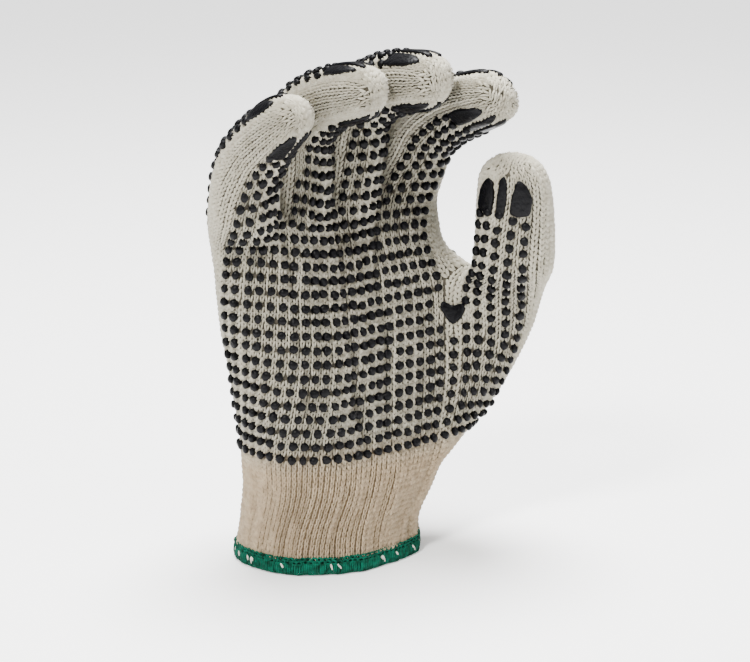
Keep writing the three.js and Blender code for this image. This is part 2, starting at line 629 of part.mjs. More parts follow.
// A grip patch: a thin plate with a rounded outline that follows the cloth
function patch (name, wale, courseAt, row, flip) {
  const here = onCloth(wale, courseAt)
  const reach = 1
  const tall = onCloth(wale, courseAt + reach).place.distanceTo(onCloth(wale, courseAt - reach).place) / (2 * reach)
  const outline = PATCH_SHAPES[row.shape]
  const rows = [{ size: 1, out: PATCH_CLEARANCE }, { size: 1, out: PATCH_CLEARANCE + 0.55 * PATCH_THICK },
    { size: 0.72, out: PATCH_CLEARANCE + PATCH_THICK }]
  const vertices = [here.place.clone().addScaledVector(here.normal, PATCH_CLEARANCE)]
  for (const layer of rows) {
    for (const [a, b] of outline) {
      const at = wale + flip * a * layer.size * row.halfWales
      const spot = onCloth(at, courseAt + b * layer.size * row.halfHeight / tall)
      vertices.push(spot.place.addScaledVector(spot.normal, layer.out))
    }
  }
  vertices.push(here.place.clone().addScaledVector(here.normal, PATCH_CLEARANCE + PATCH_THICK))
  const n = outline.length
  const top = vertices.length - 1
  const triangles = []
  const add = (a, b, c) => triangles.push(flip > 0 ? [a, b, c] : [a, c, b])
  for (let i = 0; i < n; i++) {
    const j = (i + 1) % n
    add(0, 1 + j, 1 + i)
    for (const base of [1, 1 + n]) {
      add(base + i, base + j, base + n + j)
      add(base + i, base + n + j, base + n + i)
    }
    add(top, 1 + 2 * n + i, 1 + 2 * n + j)
  }
  addSolid(name, vertices, triangles, PVC)
}

for (const digit of [...FINGERS, THUMB]) {
  for (const row of TIP_PATCHES) {
    const courses = tipCourse[digit.name]
    const courseAt = along(digit.length - row.fromTip, courses.at, courses.course)
    const wale = DIGIT_MIDDLE_WALES[digit.name] + row.across
    patch(`${digit.name}_palm_${row.name}`, wale, courseAt, row, 1)
    patch(`${digit.name}_back_${row.name}`, BACK_END - wale, courseAt, row, -1)
  }
}
const crotchPatchCourse = along(CROTCH_PATCH.z, [...CUFF, ...PALM].map((row) => row.z), handCourses)
patch('crotch_palm_patch', CROTCH_PATCH.wale, crotchPatchCourse, CROTCH_PATCH, 1)
patch('crotch_back_patch', BACK_END - CROTCH_PATCH.wale, crotchPatchCourse, CROTCH_PATCH, -1)

export default group
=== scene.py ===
import math

import bpy
import numpy as np
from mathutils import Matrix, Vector
from mathutils.kdtree import KDTree


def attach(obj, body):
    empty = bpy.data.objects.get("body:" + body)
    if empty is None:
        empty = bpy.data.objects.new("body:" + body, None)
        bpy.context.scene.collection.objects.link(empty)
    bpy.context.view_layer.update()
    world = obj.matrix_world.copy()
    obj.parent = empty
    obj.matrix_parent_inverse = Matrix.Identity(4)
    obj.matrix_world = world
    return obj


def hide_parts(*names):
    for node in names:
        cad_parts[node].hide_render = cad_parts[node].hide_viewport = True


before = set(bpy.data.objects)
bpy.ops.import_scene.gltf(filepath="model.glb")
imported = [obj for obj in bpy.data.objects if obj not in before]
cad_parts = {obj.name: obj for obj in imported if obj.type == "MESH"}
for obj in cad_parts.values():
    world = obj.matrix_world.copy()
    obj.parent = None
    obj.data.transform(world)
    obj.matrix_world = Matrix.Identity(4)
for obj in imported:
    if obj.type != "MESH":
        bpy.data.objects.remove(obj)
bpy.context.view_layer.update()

# A seamless knit glove with PVC dots: cloth, stitches, dots, grip patches and overlocked hem.
# Lengths are in millimetres and become metres where a mesh is made.
# The knitting chart counts wales across (u) and courses along (v).

# A millimetre in metres
METRE = 0.001

# Height of a course and thickness of the cloth
COURSE = 2.05
WALL = 2.0

# Wales of an edge of the hand, of the palm, all round, and all round above the thumb
SIDE = 6
FRONT = 56
ROUND = 2 * (FRONT + SIDE)
UPPER_ROUND = 100

# The wale from which the back mirrors the palm, and the one that parts them
BACK_END = 2 * FRONT + SIDE
EDGE_MID = FRONT + SIDE / 2

# Wale of each lengthwise line on the palm side, and the lines of each digit: edge, middle, edge
LINES = [0, 5, 12, 19, 24, 29, 34, 39, 44, 46, 51, 56]
DIGIT_EDGES = [LINES[0:3], LINES[2:5], LINES[4:7], LINES[6:9], LINES[9:12]]

# Wales round a digit, and the wale of each of the eight places of its rings
DIGIT_ROUND = 32
DIGIT_WALES = [0, 5, 10, 13, 16, 21, 26, 29]

# Chart strips of the digits' plain sides, and their distance from digit to digit and from side to side
STRIPS = 300
STRIP_STEP = 20
STRIP_BACK = 100

# Chart strips of the plain cloth between index finger and thumb, by place in the rings above the palm
SADDLE_STRIP = {9: (540, 543), 10: (543, 546)}
CHART_END = 550

# Courses added to the chart on the back of the saddle, and the rise of the saddle and the finger webs
SADDLE_BACK = 600
SADDLE_RISE = 4
WEB_RISE = 2.0

# Swell of the digits' rings, turn of the row of knuckles, and where the digits roll and round off
RING_GROWTH = 1.109
KNUCKLE_LINE_TURN = 37
ROLL_REACH = 24
TIP_ROLL_FROM = 14
TIP_ROLL_SPAN = 34
TIP_ROUND = 9

# Points lower than RIM_LEVEL are on the lower rim of the cloth; the ribbed cuff ends at CUFF_HEIGHT
RIM_LEVEL = 0.01
CUFF_HEIGHT = 40

# Cuff ovals: height, centre, turn, half width and depth, heel, and the wales at the two ends
CUFF = [
    dict(z=0, x=0, y=0, turn=20, w=35.8, d=26, heel=1, little=5, thumb=53),
    dict(z=14, x=0.6, y=0, turn=20, w=34.2, d=24, heel=2, little=5, thumb=53),
    dict(z=28, x=5.5, y=1, turn=23, w=38.5, d=23, heel=3, little=4, thumb=53),
]
CUFF_ANGLES = [180, 228, 275, 318, 338, 0, 22, 42, 90, 135]

# Palm sections: height, rise at both sides, wales at both sides, and twelve places round the hand
PALM = [
    dict(z=43, rise_little=4, rise_thumb=5, little=3, thumb=54,
         places=[(-32, -12), (-26, -23), (-9, -27.5), (19, -13), (44, 3), (53, 7.5),
                 (61, 15), (51, 26), (38, 31), (15, 30), (-12, 19), (-28, 3)]),
    dict(z=64, rise_little=2, rise_thumb=4, little=1.5, thumb=56,
         places=[(-35, -13), (-24, -25), (-2, -27.5), (18, -9), (48, 11), (62, 7),
                 (71, 9), (64, 22), (49, 32), (20, 34), (-10, 21), (-31, 3)]),
    dict(z=83, rise_little=0, rise_thumb=3, little=0.5, thumb=57,
         places=[(-37.5, -14), (-21, -26.5), (-1, -23), (19, -6), (47, 14), (63, 2),
                 (78, 4), (71, 19), (57, 31), (28, 36), (-8, 24), (-33, 3)]),
    dict(z=100, rise_little=0, rise_thumb=1, little=0, thumb=58,
         places=[(-40, -16), (-19, -25), (-4, -15), (19, 3), (46, 16), (63, -7),
                 (81.5, 1), (75, 14), (61, 27), (33, 38), (-5, 27), (-34, 3)]),
]

# Sections above the crotch of the thumb, without the thumb
UPPER = [
    dict(z=111, little=-1,
         places=[(-40, -15), (-19, -21), (-3, -9), (17, 7), (36, 16),
                 (44, 25), (31, 39), (2, 31), (-18, 17), (-36, 2)]),
    dict(z=120, little=-2,
         places=[(-41.5, -14), (-19, -19), (-4, -4), (15, 10), (34, 16),
                 (43, 26), (29, 39), (1, 32), (-20, 17), (-38, 2)]),
]

# Digits: root, heading of the curl, splay, roll, curl and two bends, length and half sizes
FINGERS = [
    dict(name="little", root=(-29.6, -15.3, 129.4), heading=48.9, splay=-5.5, roll=18.2, tip_roll=-6.9,
         curl=10.5, at1=24, b1=41.3, at2=45, b2=9.5, ease=15, length=60, w=(12, 11, 10.2),
         d=(13, 12, 9.2)),
    dict(name="ring", root=(-9.7, 3, 129.9), heading=48.1, splay=-9.7, roll=16.8, tip_roll=0.6,
         curl=7.6, at1=34.7, b1=56.4, at2=59.7, b2=19.2, ease=15, length=79.9, w=(10.3, 11.4, 10.2),
         d=(13.5, 12.5, 10)),
    dict(name="middle", root=(7.7, 15.9, 131.9), heading=42.1, splay=-2.4, roll=16.1, tip_roll=-3.4,
         curl=7.5, at1=35.9, b1=58.3, at2=61.9, b2=19.4, ease=15, length=85.1, w=(10.3, 11.8, 11.3),
         d=(13.5, 12.5, 10.4)),
    dict(name="index", root=(29, 30.6, 131.6), heading=33.5, splay=4.2, roll=27.7, tip_roll=18,
         curl=14.2, at1=22.6, b1=44.6, at2=47.6, b2=16.4, ease=14, length=78.4, w=(11, 12.8, 11.8),
         d=(13.5, 12.5, 9.7)),
]
THUMB = dict(name="thumb", root=(68.5, 2, 99), heading=-35, splay=11, roll=0, tip_roll=-10,
             curl=14, at1=30, b1=6, at2=44, b2=8, ease=9, length=53, w=(14.5, 14, 12.5),
             d=(14.5, 13.5, 11))
DIGITS = FINGERS + [THUMB]

# Dots: course of the first row, spacing along a wale, radius and height
DOT_FIRST_ROW = 23.3
DOT_ROW = 5.1
DOT_RADIUS = 1.63
DOT_HEIGHT = 1.95

# Dots: corners round, rings as share of the radius and of the height, and spread of each dot's place
DOT_SIDES = 11
DOT_RINGS = [(0.97, -0.3), (1.04, 0.5), (0.97, 0.7), (0.78, 0.88), (0.45, 0.99)]
DOT_STRAY = (0.08, 0.16)

# A dot is full where a wale is this wide, narrows where wales are gathered, and hides stitches this near
DOT_FULL_WALE = 2.3
DOT_NARROWEST = 0.62
UNDER_DOT = 1.18

# The last dot's distance from a tip, and courses above the roots up to which two outer columns go
DOTS_END = 18.6
SHORT_COLUMNS = {11: 3, 13: 9}

# Stitches: start above the hem, share of a wale on the cuff, and length of the tips where wales gather
STITCHES_FROM = 4.8
CUFF_NARROWING = 0.85
DOME = 3.2

# A stitch's leg: start and reach across and along, half width, height of its ridge and of its foot
LEG_ACROSS = (0.09, 0.27)
LEG_ALONG = (-0.67, 1.27)
LEG_HALF = 0.172
LEG_TOP = 0.92
LEG_FOOT = -0.4

# Grip patches at each tip: half width in wales, half height; a side of -1 mirrors the outline
TIP_PATCHES = [
    dict(name="petal_little_side", across=-3.0, from_tip=12.2, w=1.68, h=6.0, shape="petal", side=-1),
    dict(name="bar", across=0.0, from_tip=11.7, w=0.72, h=5.9, shape="bar", side=1),
    dict(name="petal_thumb_side", across=3.0, from_tip=12.2, w=1.68, h=6.0, shape="petal", side=1),
]
SHAPES = {
    "petal": [(-0.85, -0.92), (-0.4, -1), (0.4, -1), (0.85, -0.92), (1, -0.35), (0.93, 0.2), (0.6, 0.7),
              (0.05, 1), (-0.5, 0.85), (-0.8, 0.3), (-0.9, -0.35)],
    "bar": [(-0.8, -0.98), (0.8, -0.98), (1, -0.4), (1, 0.4), (0.8, 0.98), (-0.8, 0.98), (-1, 0.4),
            (-1, -0.4)],
    "heart": [(0, -1), (0.65, -0.2), (1, 0.65), (0.65, 1), (0.05, 0.6), (-0.6, 1), (-1, 0.7),
              (-0.65, -0.1)],
}

# The heart below the crotch of the thumb, the wales and courses round it free of dots, and below it
HEART = dict(wale=45, z=88, w=1.8, h=4.1)
HEART_CLEAR = (2.5, 2.2)
HEART_CLEAR_BELOW = 2.9


def rad(a):
    return math.radians(a)


def smooth(x):
    x = min(max(x, 0.0), 1.0)
    return x * x * (3 - 2 * x)


def closed_curve(places, per=24):
    """A smooth closed curve through the places, its running length and the length at each place."""
    p = np.asarray(places, float)
    n = len(p)
    out = []
    for i in range(n):
        a, b, c, d = (p[(i + k) % n] for k in (-1, 0, 1, 2))
        t1 = math.sqrt(np.linalg.norm(b - a))
        t2 = t1 + math.sqrt(np.linalg.norm(c - b))
        t3 = t2 + math.sqrt(np.linalg.norm(d - c))
        for k in range(per):
            t = t1 + (t2 - t1) * k / per
            ab = a + (b - a) * t / t1
            bc = b + (c - b) * (t - t1) / (t2 - t1)
            cd = c + (d - c) * (t - t2) / (t3 - t2)
            x = ab + (bc - ab) * t / t2
            y = bc + (cd - bc) * (t - t1) / (t3 - t1)
            out.append(x + (y - x) * (t - t1) / (t2 - t1))
    out = np.array(out + [out[0]])
    reach = np.r_[0, np.cumsum(np.linalg.norm(np.diff(out, axis=0), axis=1))]
    return out, reach, reach[np.arange(n) * per]


def ring_on_wales(places, known, wales, whole):
    """Points at given wales on the closed curve through the places, some of whose wales are known."""
    curve, reach, keys = closed_curve(places)
    total = reach[-1]
    ku = [u for _, u in known]
    kd = [keys[i] for i, _ in known]
    ku.append(ku[0] + whole)
    kd.append(total)
    ku.insert(0, ku[-2] - whole)
    kd.insert(0, kd[-2] - total)
    s = np.mod(np.interp(wales, ku, kd), total)
    x, y = np.interp(s, reach, curve[:, 0]), np.interp(s, reach, curve[:, 1])
    return np.stack([x, y, np.zeros(len(s))], 1)


def ring_wales(lines, whole):
    return [-SIDE / 2] + list(lines) + [lines[-1] + SIDE / 2] + [whole - SIDE - u for u in lines[::-1]]


HAND_WALES = ring_wales(LINES, ROUND)


def cuff_ring(row):
    wide = np.array([math.cos(rad(row["turn"])), math.sin(rad(row["turn"]))])
    deep = np.array([-wide[1], wide[0]])
    places = []
    for i, a in enumerate(CUFF_ANGLES):
        d = row["d"] + (row["heel"] if i == 1 else 0)
        centre = np.array([row["x"], row["y"]])
        places.append(centre + row["w"] * math.cos(rad(a)) * wide + d * math.sin(rad(a)) * deep)
    ring = ring_on_wales(places, [(0, row["little"]), (5, row["thumb"])], HAND_WALES, ROUND)
    ring[:, 2] = row["z"]
    return ring


def palm_ring(row):
    known = [(0, row["little"]), (1, 9), (2, 17), (3, 31), (4, 45), (6, row["thumb"])]
    known.append((8, BACK_END - 45))
    ring = ring_on_wales(row["places"], known, HAND_WALES, ROUND)
    a, b = row["places"][0][0], row["places"][6][0]
    side = (ring[:, 0] - (a + b) / 2) / ((b - a) / 2)
    ring[:, 2] = row["z"] + np.where(side > 0, row["rise_thumb"], row["rise_little"]) * side ** 2
    return ring


def upper_ring(row):
    known = [(0, row["little"]), (1, 9), (2, 17), (3, 31), (4, 43), (5, 47)]
    ring = ring_on_wales(row["places"], known, ring_wales(LINES[:9], UPPER_ROUND), UPPER_ROUND)
    ring[:, 2] = row["z"]
    return ring


def digit_line(f):
    """The middle line of a digit, which curls towards the palm, and its directions."""
    knuckles = np.array([math.cos(rad(KNUCKLE_LINE_TURN)), math.sin(rad(KNUCKLE_LINE_TURN)), 0])
    rise = np.array([0, 0, 1.0]) + math.tan(rad(f["splay"])) * knuckles
    rise /= np.linalg.norm(rise)
    palm = np.array([math.sin(rad(f["heading"])), -math.cos(rad(f["heading"])), 0])
    palm -= rise * (palm @ rise)
    palm /= np.linalg.norm(palm)
    side = np.cross(palm, rise)
    if side @ np.array([math.cos(rad(f["heading"])), math.sin(rad(f["heading"])), 0]) < 0:
        side = -side

    def curl(s):
        e = f["ease"]
        return rad(f["curl"] + f["b1"] * smooth((s - f["at1"] + e) / (2 * e))
                   + f["b2"] * smooth((s - f["at2"] + 0.7 * e) / (1.4 * e)))

    step = 0.5
    path = [np.array(f["root"], float)]
    s = 0.0
    while s < f["length"] + 12:
        a = curl(s + step / 2)
        path.append(path[-1] + step * (math.cos(a) * rise + math.sin(a) * palm))
        s += step
    path = np.array(path)
    where = np.arange(len(path)) * step

    def at(s):
        return np.array([np.interp(s, where, path[:, k]) for k in range(3)])

    return dict(rise=rise, palm=palm, side=side, curl=curl, at=at)


def digit_ring(f, line, s):
    a = line["curl"](s)
    out = -math.sin(a) * line["rise"] + math.cos(a) * line["palm"]
    stations = [0, f["at1"], f["length"] - 10]
    half = np.interp(s, stations, f["w"]) * RING_GROWTH
    deep = np.interp(s, stations, f["d"]) * RING_GROWTH
    past = (s - (f["length"] - TIP_ROUND)) / TIP_ROUND
    if past > 0:
        k = math.sqrt(1 - min(past, 1) ** 2)
        half, deep = half * k, deep * k
    near, far = 1 - smooth(s / ROLL_REACH), smooth((s - TIP_ROLL_FROM) / TIP_ROLL_SPAN)
    roll = rad(f["roll"] * near + f["tip_roll"] * far)
    wide = math.cos(roll) * line["side"] + math.sin(roll) * out
    thick = math.cos(roll) * out - math.sin(roll) * line["side"]
    angles = [(w - DIGIT_WALES[1]) / DIGIT_ROUND * 2 * math.pi for w in DIGIT_WALES]
    middle = line["at"](s)
    return np.array([middle + half * math.sin(p) * wide + deep * math.cos(p) * thick for p in angles])


def digit_stations(f):
    """Where a finger has rings: even to its first bend, close about the bend, and close at the tip."""
    near = 0.8 * f["ease"]
    n = max(2, round((f["at1"] - near) / 9))
    s = [(f["at1"] - near) * (k + 1) / n for k in range(n)]
    s += [f["at1"] - near / 3, f["at1"] + near / 3, f["at1"] + near]
    end = f["length"]
    return s + [(f["at1"] + near + end - TIP_ROUND) / 2, end - TIP_ROUND, end - 4, end - 1]


class Cage:
    """Four-cornered faces, each with its rectangle in the knitting chart."""

    def __init__(self):
        self.v, self.f, self.uv = [], [], []

    def add(self, p):
        self.v.append(np.asarray(p, float))
        return len(self.v) - 1

    def face(self, corners, ua, ub, va, vb):
        self.f.append(corners)
        self.uv.append([(ua, va), (ub, va), (ub, vb), (ua, vb)])

    def courses(self, low, high):
        gaps = [np.linalg.norm(self.v[a] - self.v[b]) for a, b in zip(low, high)]
        return float(np.mean(gaps)) / COURSE


def strips_of(number):
    """The first wale of a digit's two side strips: towards the thumb, and towards the little finger."""
    start = STRIPS + STRIP_STEP * number
    return start, start + STRIP_BACK


def build_cage():
    """The cage of the whole glove, with the courses at the palm's rings and at each digit's."""
    g = Cage()
    info = {}
    rings = [[g.add(p) for p in cuff_ring(r)] for r in CUFF]
    rings += [[g.add(p) for p in palm_ring(r)] for r in PALM]
    nxt = HAND_WALES[1:] + [HAND_WALES[0] + ROUND]
    sides = len(HAND_WALES)
    v = [0.0]
    for low, high in zip(rings, rings[1:]):
        v.append(v[-1] + g.courses(low, high))
        for i in range(sides):
            j = (i + 1) % sides
            g.face([low[i], low[j], high[j], high[i]], HAND_WALES[i], nxt[i], v[-2], v[-1])
    info["hand_v"] = v
    top, v_top = rings[-1], v[-1]

    def raised_middle(a, b):
        return g.add((g.v[a] + g.v[b]) / 2 + np.array([0, 0, SADDLE_RISE]))

    wi, wt = raised_middle(top[9], top[17]), raised_middle(top[10], top[16])
    v_back = v_top + SADDLE_BACK
    g.face([top[9], top[10], wt, wi], LINES[8], LINES[9], v_top, v_top + 3)
    g.face([wi, wt, top[16], top[17]], LINES[8], LINES[9], v_back, v_back + 3)
    low = top[:10] + [wi] + top[17:]
    wales = HAND_WALES[:10] + [47] + HAND_WALES[17:]
    nxt = wales[1:10] + [47, wales[11]] + wales[12:] + [HAND_WALES[0] + ROUND]
    layers = [low] + [[g.add(p) for p in upper_ring(r)] for r in UPPER]
    lines = [digit_line(f) for f in FINGERS]
    roots = [digit_ring(f, line, 0) for f, line in zip(FINGERS, lines)]
    sides = len(wales)
    knuckles = [None] * sides
    knuckles[0], knuckles[1], knuckles[19] = g.add(roots[0][7]), g.add(roots[0][0]), g.add(roots[0][6])
    knuckles[9], knuckles[10], knuckles[11] = g.add(roots[3][2]), g.add(roots[3][3]), g.add(roots[3][4])
    webs = []
    for k in range(4):
        knuckles[2 + 2 * k] = g.add(roots[k][1])
        knuckles[18 - 2 * k] = g.add(roots[k][5])
    for k in range(3):
        knuckles[3 + 2 * k] = g.add((roots[k][2] + roots[k + 1][0]) / 2)
        knuckles[17 - 2 * k] = g.add((roots[k][4] + roots[k + 1][6]) / 2)
        webs.append(g.add((roots[k][3] + roots[k + 1][7]) / 2 + np.array([0, 0, WEB_RISE])))
    layers.append(knuckles)
    course = v_top
    for low, high in zip(layers, layers[1:]):
        up = course + g.courses(low, high)
        for i in range(sides):
            j = (i + 1) % sides
            span = SADDLE_STRIP.get(i, (wales[i], nxt[i]))
            g.face([low[i], low[j], high[j], high[i]], *span, course, up)
        course = up
    info["root_v"] = course
    info["tips"] = {}

    def digit(f, line, base, stations, number, v0):
        a, m, b = DIGIT_EDGES[number]
        right, left = strips_of(number)
        half = SIDE // 2
        spans = [(a, m), (m, b), (right, right + half), (right + half, right + SIDE),
                 (BACK_END - b, BACK_END - m), (BACK_END - m, BACK_END - a),
                 (left, left + half), (left + half, left + SIDE)]
        low, at, s_list, v_list = base, v0, [0], [v0]
        for s in stations:
            ring = [g.add(p) for p in digit_ring(f, line, s)]
            up = at + g.courses(low, ring)
            for i in range(8):
                j = (i + 1) % 8
                g.face([low[i], low[j], ring[j], ring[i]], *spans[i], at, up)
            low, at = ring, up
            s_list.append(s)
            v_list.append(up)
        end = line["at"](f["length"])
        tip = g.add(end + 0.3 * (end - np.mean([g.v[p] for p in low], axis=0)))
        g.face([low[0], low[1], tip, low[7]], *spans[0], at, at + 2)
        g.face([low[1], low[2], low[3], tip], *spans[1], at, at + 2)
        g.face([tip, low[3], low[4], low[5]], *spans[4], at, at + 2)
        g.face([low[7], tip, low[5], low[6]], *spans[5], at, at + 2)
        info["tips"][f["name"]] = (s_list, v_list)

    for k, f in enumerate(FINGERS):
        left = knuckles[0] if k == 0 else webs[k - 1]
        right = knuckles[10] if k == 3 else webs[k]
        palm_side = [knuckles[1 + 2 * k], knuckles[2 + 2 * k], knuckles[3 + 2 * k]]
        back_side = [knuckles[17 - 2 * k], knuckles[18 - 2 * k], knuckles[19 - 2 * k]]
        base = palm_side + [right] + back_side + [left]
        digit(f, lines[k], base, digit_stations(f), k, course)
    end = THUMB["length"]
    stations = [9, 18, 27, 36, end - TIP_ROUND, end - 4, end - 1]
    digit(THUMB, digit_line(THUMB), top[10:17] + [wt], stations, len(FINGERS), v_top)
    return np.array(g.v), np.array(g.f), np.array(g.uv, float), info


def subdivide(v, f, uv):
    """One round of Catmull-Clark, with the chart rectangles quartered and kept in order."""
    n, m = len(v), len(f)
    centre = v[f].mean(1)
    pairs = np.sort(np.stack([f, np.roll(f, -1, 1)], 2).reshape(-1, 2), 1)
    key, inv, cnt = np.unique(pairs, axis=0, return_inverse=True, return_counts=True)
    inv = inv.reshape(m, 4)
    fsum = np.zeros((len(key), 3))
    np.add.at(fsum, inv.ravel(), np.repeat(centre, 4, 0))
    mid = v[key].mean(1)
    edge = mid.copy()
    inner = cnt == 2
    edge[inner] = (v[key[inner]].sum(1) + fsum[inner]) / 4
    val, esum, fs, fc = np.zeros(n), np.zeros((n, 3)), np.zeros((n, 3)), np.zeros(n)
    for k in (0, 1):
        np.add.at(esum, key[:, k], mid)
        np.add.at(val, key[:, k], 1)
    np.add.at(fs, f.ravel(), np.repeat(centre, 4, 0))
    np.add.at(fc, f.ravel(), 1)
    nn = val[:, None]
    moved = (fs / fc[:, None] + 2 * esum / nn + (nn - 3) * v) / nn
    rim = np.zeros(n, bool)
    rim[key[~inner].ravel()] = True
    rsum = np.zeros((n, 3))
    for k in (0, 1):
        np.add.at(rsum, key[~inner][:, k], mid[~inner])
    moved[rim] = (rsum[rim] / 2 + v[rim]) / 2
    ci, ei = n + np.arange(m), n + m + inv
    uvc, uve = uv.mean(1), (uv + np.roll(uv, -1, 1)) / 2
    faces, charts = [], []
    for k in range(4):
        faces.append(np.roll(np.stack([f[:, k], ei[:, k], ci, ei[:, k - 1]], 1), k, axis=1))
        charts.append(np.roll(np.stack([uv[:, k], uve[:, k], uvc, uve[:, k - 1]], 1), k, axis=1))
    points = np.vstack([moved, centre, edge])
    return points, np.stack(faces, 1).reshape(-1, 4), np.stack(charts, 1).reshape(-1, 4, 2)


def normals_of(v, f):
    n = np.cross(v[f[:, 2]] - v[f[:, 0]], v[f[:, 3]] - v[f[:, 1]])
    out = np.zeros_like(v)
    for k in range(4):
        np.add.at(out, f[:, k], n)
    out[v[:, 2] < RIM_LEVEL, 2] = 0
    return out / (np.linalg.norm(out, axis=1, keepdims=True) + 1e-12)


def waves(p, size, count, seed):
    """Smooth seeded noise, about -1 to 1, made of sine waves of about one length."""
    r = np.random.default_rng(seed)
    k = r.normal(size=(count, p.shape[1]))
    spread = (2 * math.pi / size) * r.uniform(0.6, 1.5, (count, 1))
    k *= spread / np.linalg.norm(k, axis=1, keepdims=True)
    return np.sin(p @ k.T + r.uniform(0, 7, count)).sum(1) / math.sqrt(count)


CAGE_V, CAGE_F, CAGE_UV, INFO = build_cage()
HAND_Z = [r["z"] for r in CUFF + PALM]

# The palm's folds lie below this course
FOLDS_BELOW = 120

# Folds: wale and course at both ends, half width in wales, depth below the cloth (negative for a ridge)
FOLDS = [
    dict(u0=10.0, v0=72, u1=13.5, v1=48, wide=0.9, deep=2.0),
    dict(u0=13.5, v0=48, u1=17.0, v1=28, wide=0.8, deep=0.8),
    dict(u0=22.6, v0=70, u1=23.5, v1=46, wide=0.9, deep=1.5),
    dict(u0=23.5, v0=46, u1=28.5, v1=25, wide=0.9, deep=1.7),
    dict(u0=26.5, v0=44, u1=31.0, v1=24, wide=1.1, deep=-0.9),
    dict(u0=33.0, v0=72, u1=31.0, v1=52, wide=0.9, deep=1.5),
    dict(u0=31.0, v0=52, u1=33.5, v1=27, wide=0.9, deep=1.2),
    dict(u0=40.5, v0=46, u1=38.5, v1=26, wide=1.0, deep=0.9),
    dict(u0=16.0, v0=71, u1=20.0, v1=60, wide=1.0, deep=-1.0),
    dict(u0=27.0, v0=72, u1=26.5, v1=60, wide=1.0, deep=-1.0),
]

# Furrows of the cuff: wale, half width and depth; they fade towards the dots
FURROWS = [
    (3.5, 0.8, 0.43), (7.2, 0.8, 0.56), (11.6, 0.88, 0.5), (16.4, 0.8, 0.93), (20.5, 0.8, 0.5),
    (25.3, 0.96, 0.74), (29.4, 0.8, 0.5), (34.2, 0.96, 0.81), (38.5, 0.8, 0.5), (43.4, 0.96, 0.68),
    (48.2, 0.8, 0.5), (52.6, 0.96, 0.62), (66.5, 0.96, 0.62), (73.0, 0.8, 0.56), (79.4, 0.96, 0.74),
    (86.2, 0.8, 0.5), (92.8, 0.96, 0.68), (99.5, 0.8, 0.56), (106.3, 0.96, 0.68), (113.2, 0.8, 0.5),
]

# Height of the slow waves of the whole cloth and of the ribs of the cuff
SWELL = 0.28
RIBS = 0.32


def relief(p, u, v):
    """Low folds and waves of the cloth along its facing, in millimetres."""
    out = SWELL * waves(p, 26, 14, 3)
    front = (v < FOLDS_BELOW) & (u < EDGE_MID)
    for f in FOLDS:
        along = np.clip((v - f["v0"]) / (f["v1"] - f["v0"]), -0.5, 1.5)
        centre = f["u0"] + (f["u1"] - f["u0"]) * along + 0.5 * np.sin(v / 5.5 + f["u0"])
        fade = np.clip(1.15 - np.abs(along - 0.5) * 1.6, 0, 1)
        out = out - np.where(front, f["deep"] * fade * np.exp(-((u - centre) / f["wide"]) ** 2), 0)
    for wale, wide, deep in FURROWS:
        centre = wale + 0.25 * np.sin(v / 6.0 + wale)
        fade = np.clip((26 - v) / 12, 0, 1) * np.clip((v + 3) / 8, 0, 1)
        out = out - deep * fade * np.exp(-((u - centre) / wide) ** 2)
    cuff = np.clip((CUFF_HEIGHT - p[:, 2]) / 10, 0, 1)
    broad = waves(np.stack([u, v * 0.12], 1), 5.0, 10, 5)
    fine = waves(np.stack([u, v * 0.2], 1), 2.6, 10, 6)
    return out + RIBS * cuff * (broad + 0.7 * fine)


def dress(levels):
    """The cloth after some rounds of subdivision, with its folds: points, faces, chart and facings."""
    v, f, uv = CAGE_V, CAGE_F, CAGE_UV
    for _ in range(levels):
        v, f, uv = subdivide(v, f, uv)
    n = normals_of(v, f)
    total, count = np.zeros(len(v)), np.zeros(len(v))
    flat_uv = uv.reshape(-1, 2)
    d = relief(v[f.ravel()], flat_uv[:, 0], flat_uv[:, 1])
    np.add.at(total, f.ravel(), d)
    np.add.at(count, f.ravel(), 1)
    v = v + n * (total / count)[:, None]
    v[:, 2] = np.maximum(v[:, 2], 0)
    return v, f, uv, normals_of(v, f)


V, F, UV, N = dress(3)


def column(u):
    """The faces that one wale runs through from the cuff up, and the distance along it at each."""
    lo, hi = UV[:, 0], UV[:, 2]
    face = np.nonzero((lo[:, 0] <= u) & (u < hi[:, 0]))[0]
    face = face[np.argsort(lo[face, 1])]
    x = ((u - lo[face, 0]) / (hi[face, 0] - lo[face, 0]))[:, None]
    c = F[face]
    start = (1 - x) * V[c[:, 0]] + x * V[c[:, 1]]
    end = (1 - x) * V[c[:, 3]] + x * V[c[:, 2]]
    return face, np.r_[0, np.cumsum(np.linalg.norm(end - start, axis=1))]


def walk(wales, pitch, first=0.0, shift=0.0, fill=False):
    """Evenly spaced places along each wale, from a first course up, with their facings and steps."""
    out = []
    for u in wales:
        face, reach = column(u)
        if len(face) == 0:
            continue
        lo, hi = UV[face, 0, 1], UV[face, 2, 1]
        k = int(np.searchsorted(hi, first, side="right"))
        if k >= len(face):
            continue
        part = np.clip((first - lo[k]) / (hi[k] - lo[k]), 0, 1)
        s = np.arange(reach[k] + part * (reach[k + 1] - reach[k]) + shift * pitch, reach[-1], pitch)
        if fill and len(s) and reach[-1] - s[-1] > 0.7 * pitch:
            s = np.r_[s, reach[-1] - 0.3 * pitch]
        at = np.clip(np.searchsorted(reach, s, side="right") - 1, 0, len(face) - 1)
        part = np.clip((s - reach[at]) / (reach[at + 1] - reach[at]), 0, 1)
        out.append(np.stack([face[at], np.full(len(s), u), lo[at] + part * (hi[at] - lo[at])], 1))
    out = np.vstack(out)
    return frames(out[:, 0].astype(int), out[:, 1], out[:, 2])


